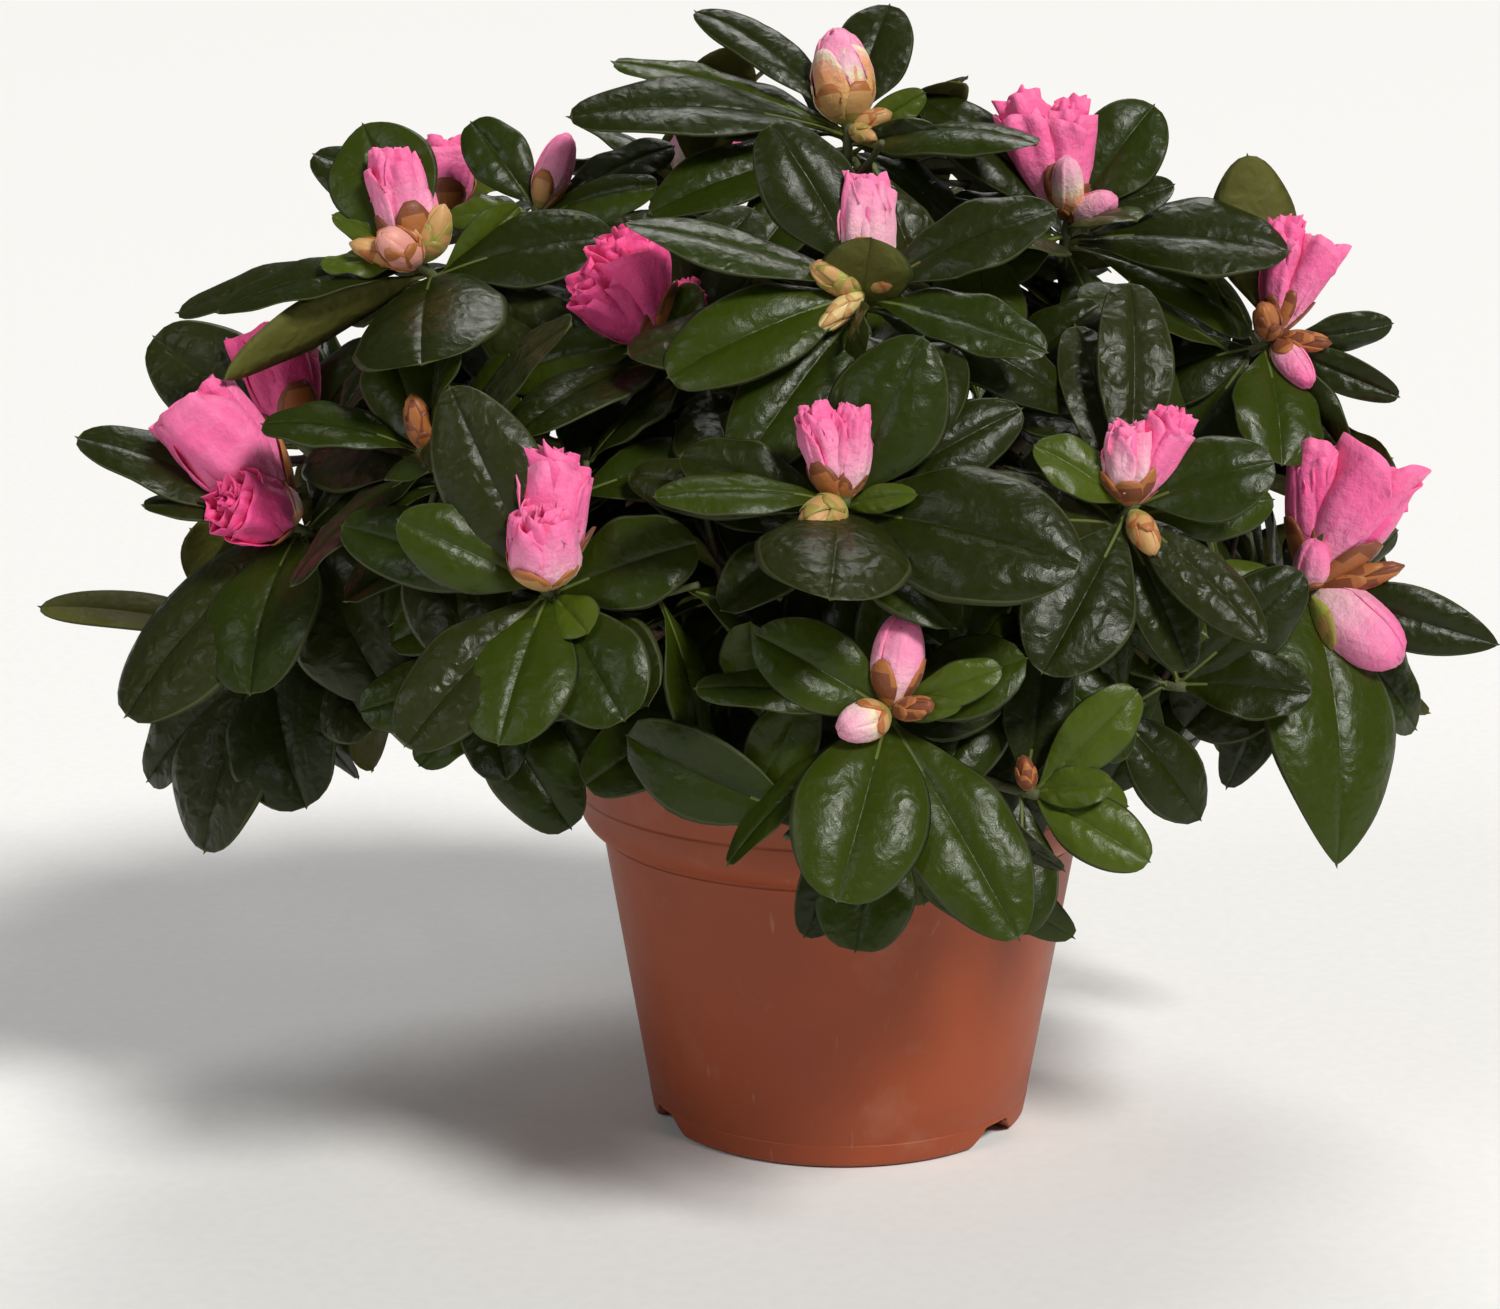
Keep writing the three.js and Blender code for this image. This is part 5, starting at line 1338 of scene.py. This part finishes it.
def pot_profile():
    """The foot's edge is rounded, and the wall runs straight from there up to the shoulder."""
    seam, round_out, round_up = 5.5, 1.6, 1.4
    slope = (POT["wallTop"] - POT["foot"]) / (POT["wallTopZ"] - round_up)
    seam_out = POT["foot"] + slope * (seam - round_up)
    base = [(0, 0), (POT["foot"] - 3, 0)]
    for i in range(6):
        a = rad(90 * i / 5)
        base.append((POT["foot"] - round_out + round_out * math.sin(a), round_up * (1 - math.cos(a))))
    outer = base + line_round(seam_out, seam, 0.1, 0.3)
    outer += [(POT["foot"] + slope * (z - round_up), z) for z in (15, 25, 35, 45, 55, 64)]
    outer += line_round(POT["wallTop"], POT["wallTopZ"] - 0.6, 0.18, 0.5) + shoulder(0, 12)[1:]
    outer += line_round(POT["rim"], POT["shoulderZ"] + 0.8, 0.15, 0.5) + [(POT["rim"], POT["height"] - 2)]
    lip_out, lip_in = POT["rim"], POT["rim"] - POT["wall"]
    middle, half = (lip_out + lip_in) / 2, (lip_out - lip_in) / 2
    lip = []
    for i in range(9):
        a = rad(180 * i / 8)
        lip.append((middle + half * math.cos(a), POT["height"] - half + half * math.sin(a)))
    inside = [(lip_in, POT["height"] - 2)] + shoulder(POT["wall"], 12)[::-1]
    floor_edge = POT["foot"] - POT["wall"]
    floor = [(floor_edge + 0.1, POT["floor"] + 0.8), (floor_edge - 1, POT["floor"]), (0, POT["floor"])]
    return outer + lip + inside + floor


def drain_cutter(turn):
    """A wedge with rounded upper corners that cuts one notch in the foot."""
    side, top = DRAIN["width"] / 2, DRAIN["topWidth"] / 2
    corner = 1.2
    outline = [(-side, -1), (side, -1), (side, 0)]
    for i in range(7):
        a = rad(15 * i)
        outline.append((top - corner + corner * math.cos(a), DRAIN["height"] - corner + corner * math.sin(a)))
    outline += [(-x, z) for x, z in outline[:1:-1]]
    out = (math.sin(rad(turn)), -math.cos(rad(turn)))
    start = POT["foot"] - DRAIN["depth"] + 2
    points = []
    for reach in (start, start + DRAIN["depth"]):
        points += [(out[0] * reach - out[1] * x, out[1] * reach + out[0] * x, z) for x, z in outline]
    n = len(outline)
    sides = [(i, (i + 1) % n, n + (i + 1) % n, n + i) for i in range(n)]
    mesh = bpy.data.meshes.new("drain_cutter")
    ends = [tuple(range(n))[::-1], tuple(range(n, 2 * n))]
    mesh.from_pydata([tuple(v * MM for v in point) for point in points], [], ends + sides)
    mesh.update()
    return put_in_scene("drain_cutter", mesh)


def make_pot():
    piece = turned_mesh(pot_profile(), 192).build("pot_shell", [pot_material()])
    cutters = [drain_cutter(DRAIN["firstTurn"] + 360 / DRAIN["count"] * i) for i in range(DRAIN["count"])]
    for cutter in cutters:
        cut = piece.modifiers.new("notch", "BOOLEAN")
        cut.object = cutter
        cut.solver = "EXACT"
    depsgraph = bpy.context.evaluated_depsgraph_get()
    mesh = bpy.data.meshes.new_from_object(piece.evaluated_get(depsgraph))
    piece.modifiers.clear()
    piece.data = mesh
    for cutter in cutters:
        bpy.data.objects.remove(cutter)
    mesh.shade_smooth()
    mesh.set_sharp_from_angle(angle=rad(38))
    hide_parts("pot")


def crumb(rng, edge):
    """The points of one loose crumb: a small uneven ball somewhere on top of the peat."""
    far, turn = (edge - 3) * math.sqrt(rng.rand()), 2 * math.pi * rng.rand()
    radius = 0.7 + 1.3 * rng.rand() ** 2
    middle = np.array([far * math.cos(turn), far * math.sin(turn), SOIL["top"] - SUNK + 0.3 * radius])
    ball = [(0, 0, -1)]
    for z in (-0.5, 0.1, 0.6):
        wide = math.sqrt(1 - z * z)
        angles = [k * math.pi / 3 for k in range(6)]
        ball += [(wide * math.cos(angle), wide * math.sin(angle), z) for angle in angles]
    return middle + np.array(ball + [(0, 0, 1)]) * radius * (0.75 + 0.5 * rng.rand(20, 1))


def make_peat():
    """Crumbly peat: a rough top that dips and heaps a little, with loose crumbs on it."""
    rng = np.random.RandomState(7)
    inset = POT["wall"] + SOIL["gap"]
    edge = POT["rim"] - inset
    rings, segments, crumbs = 44, 120, 420
    radii = edge * (1 - np.linspace(0, 1, rings) ** 1.15)[:-1]
    profile = [(0, POT["floor"] + GAP), (POT["foot"] - inset - 1.2, POT["floor"] + GAP),
               (POT["foot"] - inset, POT["floor"] + 1.2)]
    profile += [p for p in shoulder(inset, 6) if p[1] < SOIL["top"] - 4]
    profile += [(edge, SOIL["top"] - 2.5)] + [(r, SOIL["top"]) for r in radii[1:]] + [(0, SOIL["top"])]
    batch = turned_mesh(profile, segments)
    points = batch.points[0]
    out = np.hypot(points[:, 0], points[:, 1])
    on_top = points[:, 2] > SOIL["top"] - 0.1
    swell = np.zeros(len(points))
    for _ in range(9):
        way = rng.standard_normal(2) * 0.12
        swell += np.sin(points[:, 0] * way[0] + points[:, 1] * way[1] + rng.rand() * 6.3)
    rough = 0.28 * swell + 0.55 * rng.standard_normal(len(points))
    fade = np.clip((edge - out) / 4, 0, 1)
    points[:, 2] += np.where(on_top, np.clip(rough, -1.6, 1.2) * fade - SUNK, 0)
    crumb_faces = np.array(ring_faces(6, 3))[:, ::-1]
    for _ in range(crumbs):
        batch.add(crumb(rng, edge), crumb_faces, 0)
    piece = batch.build("peat_top", [peat_material()])
    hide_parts("soil")


# Materials. Each colour is linear red, green and blue, and each depth of relief is in metres.
class Nodes:
    """A short way to add and link the shader nodes of one material."""

    def __init__(self, name):
        self.material = bpy.data.materials.new(name)
        self.material.use_nodes = True
        self.tree = self.material.node_tree
        self.shader = self.tree.nodes["Principled BSDF"]
        self.place = self.add("ShaderNodeTexCoord").outputs["Object"]
        self.relief = None

    def add(self, kind, **values):
        """A new node. Each value is one of its settings, or goes on one of its sockets."""
        node = self.tree.nodes.new(kind)
        for key, value in values.items():
            if hasattr(node, key):
                setattr(node, key, value)
            else:
                node.inputs[key.replace("_", " ")].default_value = value
        return node

    def link(self, output, node, into):
        self.tree.links.new(output, node.inputs[into])

    def stretch(self, **values):
        """Noises that are made after this are drawn out."""
        node = self.add("ShaderNodeMapping", **values)
        self.link(self.place, node, "Vector")
        self.place = node.outputs["Vector"]

    def noise(self, scale, detail=3, rough=0.5, output="Fac"):
        node = self.add("ShaderNodeTexNoise", Scale=scale, Detail=detail, Roughness=rough)
        self.link(self.place, node, "Vector")
        return node.outputs[output]

    def ramp(self, source, stops):
        """Colours, or shades of grey, at places along a noise."""
        node = self.add("ShaderNodeValToRGB")
        points = node.color_ramp.elements
        while len(points) < len(stops):
            points.new(0.5)
        for point, (at, colour) in zip(points, stops):
            point.position = at
            point.color = (*(colour if isinstance(colour, tuple) else (colour,) * 3), 1)
        self.link(source, node, "Fac")
        return node.outputs["Color"]

    def range(self, source, low, high, to_low, to_high, curve="LINEAR"):
        node = self.add("ShaderNodeMapRange", interpolation_type=curve, From_Min=low, From_Max=high,
                        To_Min=to_low, To_Max=to_high)
        self.link(source, node, "Value")
        return node.outputs["Result"]

    def bump(self, source, strength, depth):
        """A layer of relief over the ones before it."""
        node = self.add("ShaderNodeBump", Strength=strength, Distance=depth)
        self.link(source, node, "Height")
        if self.relief:
            self.link(self.relief, node, "Normal")
        self.relief = node.outputs["Normal"]

    def gloss(self, source, low, high):
        """Roughness that runs from low to high over the middle of a noise."""
        self.link(self.range(source, 0.3, 0.7, low, high), self.shader, "Roughness")

    def finish(self, colour=None, **values):
        if self.relief:
            self.link(self.relief, self.shader, "Normal")
        if colour:
            values["Base_Color"] = (*colour, 1)
        for key, value in values.items():
            self.shader.inputs[key.replace("_", " ")].default_value = value
        return self.material


def surface(name, layers, gloss, colour=None, stops=None, stretch=None, **values):
    """A plain surface with layers of relief, finest first: scale, detail and roughness of a noise, then
    strength and depth. The last noise also breaks the gloss and, where stops are given, the colour."""
    nodes = Nodes(name)
    if stretch:
        nodes.stretch(Scale=stretch)
    for scale, detail, rough, strength, depth in layers:
        source = nodes.noise(scale, detail, rough)
        nodes.bump(source, strength, depth)
    nodes.gloss(source, *gloss)
    if stops:
        nodes.link(nodes.ramp(source, stops), nodes.shader, "Base Color")
    return nodes.finish(colour, **values)


def leaf_material(name, colour, rough, net, spread):
    """Leathery leaf: a net of sunken veins over puckers and a fine grain, and a gloss that varies."""
    nodes = Nodes(name)
    shifted = nodes.add("ShaderNodeMix", data_type="VECTOR", Factor=0.006)
    nodes.link(nodes.place, shifted, "A")
    nodes.link(nodes.noise(160, 2, output="Color"), shifted, "B")
    cells = nodes.add("ShaderNodeTexVoronoi", feature="DISTANCE_TO_EDGE", Scale=spread)
    nodes.link(shifted.outputs[1], cells, "Vector")
    nodes.bump(nodes.noise(2400), 0.4, 0.00014)
    nodes.bump(nodes.noise(95), 0.5, 0.0022)
    nodes.bump(nodes.range(cells.outputs["Distance"], 0, 0.42, 0, 1, "SMOOTHSTEP"), net, 0.0006)
    nodes.gloss(nodes.noise(420, 4), rough - 0.05, rough + 0.1)
    return nodes.finish(colour, Specular_IOR_Level=0.2)


def leaf_materials():
    return [leaf_material(name, *look) for name, look in LEAF_LOOKS.items()]


def petal_materials():
    """Thin petals: fine veins and creases, a soft surface and a little light through it."""
    made = []
    for name, stops, count in (("petal_pink", PINKS, PETAL_STEPS), ("petal_peach", PEACHES, PEACH_STEPS)):
        for i, place in enumerate(np.linspace(0, len(stops) - 1, count)):
            colour = [float(np.interp(place, range(len(stops)), part)) for part in zip(*stops)]
            made.append(surface(
                "%s_%d" % (name, i), ((3200, 2, 0.5, 0.15, 0.0001), (420, 5, 0.6, 0.8, 0.0009)),
                (0.48, 0.66), colour, Subsurface_Weight=0.2, Subsurface_Scale=0.0012,
                Subsurface_Radius=(1.0, 0.35, 0.5), Sheen_Weight=0.1))
    return made


def scale_materials():
    """Papery bud scales, with lengthwise streaks and down."""
    return [surface("scale_" + name, ((900, 4, 0.65, 0.6, 0.0003),), (0.38, 0.62), colour, Sheen_Weight=0.1)
            for name, colour in SCALE_LOOKS.items()]


def twig_material(name, colour):
    return surface(name, ((1400, 4, 0.7, 0.8, 0.0003),), (0.55, 0.8), colour)


def bark_material():
    """Brown bark that flakes in strips, lighter where it peels."""
    return surface("bark", ((700, 5, 0.5, 0.9, 0.0006),), (0.7, 0.9), stretch=(1, 1, 0.25),
                   stops=((0.3, (0.045, 0.024, 0.013)), (0.52, (0.125, 0.072, 0.036)),
                          (0.7, (0.25, 0.17, 0.10))))


def peat_material():
    return surface("peat", ((900, 6, 0.7, 1.0, 0.0012),), (0.8, 0.98),
                   stops=((0.32, (0.008, 0.005, 0.003)), (0.55, (0.028, 0.016, 0.009)),
                          (0.72, (0.085, 0.052, 0.028))))


def pot_material():
    """Moulded terracotta plastic: a satin skin with faint clouds, rubbed patches and pale scratches."""
    nodes = Nodes("pot_plastic")
    clay = nodes.ramp(nodes.noise(22, 4, 0.55), ((0.3, (0.260, 0.046, 0.011)), (0.7, (0.325, 0.062, 0.016))))
    smudge = nodes.noise(60, 5, 0.6)
    dust = nodes.ramp(smudge, ((0.56, 0.0), (0.72, 0.22)))
    nodes.bump(nodes.noise(1500), 0.12, 0.0001)
    nodes.bump(nodes.noise(38, 2), 0.25, 0.0008)
    nodes.gloss(smudge, 0.42, 0.56)
    nodes.stretch(Scale=(1, 1, 0.18), Rotation=(0.5, 0.3, 0))
    scratch = nodes.ramp(nodes.noise(330, 2), ((0.72, 0.0), (0.78, 0.35)))
    wear = nodes.add("ShaderNodeMath", operation="MAXIMUM")
    nodes.link(dust, wear, 0)
    nodes.link(scratch, wear, 1)
    # The colours that this node mixes are its sockets 6 and 7.
    worn = nodes.add("ShaderNodeMix", data_type="RGBA")
    worn.inputs[7].default_value = (0.44, 0.21, 0.15, 1)
    nodes.link(wear.outputs[0], worn, "Factor")
    nodes.link(clay, worn, 6)
    nodes.link(worn.outputs[2], nodes.shader, "Base Color")
    return nodes.finish(Specular_IOR_Level=0.4)


def floor_material():
    nodes = Nodes("floor_paper")
    nodes.link(nodes.ramp(nodes.noise(300), ((0.3, 0.84), (0.7, 0.87))), nodes.shader, "Base Color")
    return nodes.finish(Roughness=0.9)


# The whole plant. The petals are joined in three pieces, parted at two places from left to right.
PETAL_PARTS = (-60, 25)


def make_plant():
    sprays, limbs, twigs = skeleton()
    space = grow(sprays, limbs, twigs)
    older_leaves(sprays, space)
    shoots = side_shoots(sprays, space)
    make_limbs(limbs)
    make_twigs(twigs, shoots)
    leaves = {mass: Batch() for mass in MASSES}
    petals = {side: Batch() for side in ("left", "middle", "right")}
    scales = Batch()
    counts = {}
    for number, item in enumerate(space.items):
        if item["kind"] == "leaf":
            add_leaf(leaves[item["mass"]], item, PLAIN if item.get("inner") else FINE, number)
        else:
            place = counts.get(item["spray"], 0)
            counts[item["spray"]] = place + 1
            x = item["root"][0]
            side = "left" if x < PETAL_PARTS[0] else "right" if x > PETAL_PARTS[1] else "middle"
            add_bloom(petals[side], scales, item, look_of(item, place), number)
    tones = leaf_materials()
    for mass, batch in leaves.items():
        piece = batch.build(mass + "_leaves", tones)
        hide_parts(mass)
    tones = petal_materials()
    for side, batch in petals.items():
        batch.build("petals_" + side, tones)
    scales.build("bud_scales", scale_materials())


# Light, floor and camera. Sizes and places here are in metres.
FLOOR = dict(size=12.0, rows=25, below=0.0002)
# Each light: its direction in degrees round from the right and up, its spread, its power and its colour.
LIGHTS = {
    "key": (-50, 44, 14, 3.0, (1.0, 0.98, 0.93)),
    "fill": (-140, 32, 24, 0.5, (0.98, 0.99, 1.0)),
    "back": (75, 52, 30, 1.2, (1.0, 0.98, 0.95)),
}
SKY = 0.09
# The photograph's view: a long lens, a little above the plant and level from side to side. The sensor is in
# millimetres, and the focal length in pixels of the photograph.
CAMERA = dict(place=(-0.0206, -0.752, 0.271), dip=0.02, sensor=36, focal=3400, pixels=1500)


def add_light(name, azimuth, height, spread, power, colour):
    """A soft studio light, far off."""
    data = bpy.data.lights.new(name, "SUN")
    data.angle = rad(spread)
    data.energy = power
    data.color = colour
    put_in_scene(name, data).rotation_euler = (rad(90 - height), 0, rad(90 + azimuth))


def make_floor():
    rows = FLOOR["rows"]
    steps = np.linspace(-FLOOR["size"], FLOOR["size"], rows)
    grid = np.stack([*np.meshgrid(steps, steps, indexing="xy"), np.full((rows, rows), -FLOOR["below"])], -1)
    mesh = bpy.data.meshes.new("floor")
    mesh.from_pydata([tuple(p) for p in grid.reshape(-1, 3)], [], [tuple(f) for f in grid_faces(rows, rows)])
    mesh.materials.append(floor_material())
    put_in_scene("floor", mesh)


def make_light():
    for name, light in LIGHTS.items():
        add_light(name, *light)
    world = bpy.data.worlds.new("studio")
    world.use_nodes = True
    sky = world.node_tree.nodes["Background"].inputs
    sky["Color"].default_value = (1, 1, 1, 1)
    sky["Strength"].default_value = SKY
    bpy.context.scene.world = world
    bpy.context.scene.view_settings.view_transform = "Standard"


def make_camera():
    data = bpy.data.cameras.new("camera")
    data.sensor_width = CAMERA["sensor"]
    data.lens = CAMERA["sensor"] * CAMERA["focal"] / CAMERA["pixels"]
    camera = put_in_scene("camera", data)
    camera.location = CAMERA["place"]
    camera.rotation_euler = (rad(90 - VIEW_TILT - CAMERA["dip"]), 0, 0)
    bpy.context.scene.camera = camera


make_plant()
make_pot()
make_peat()
make_floor()
make_light()
make_camera()
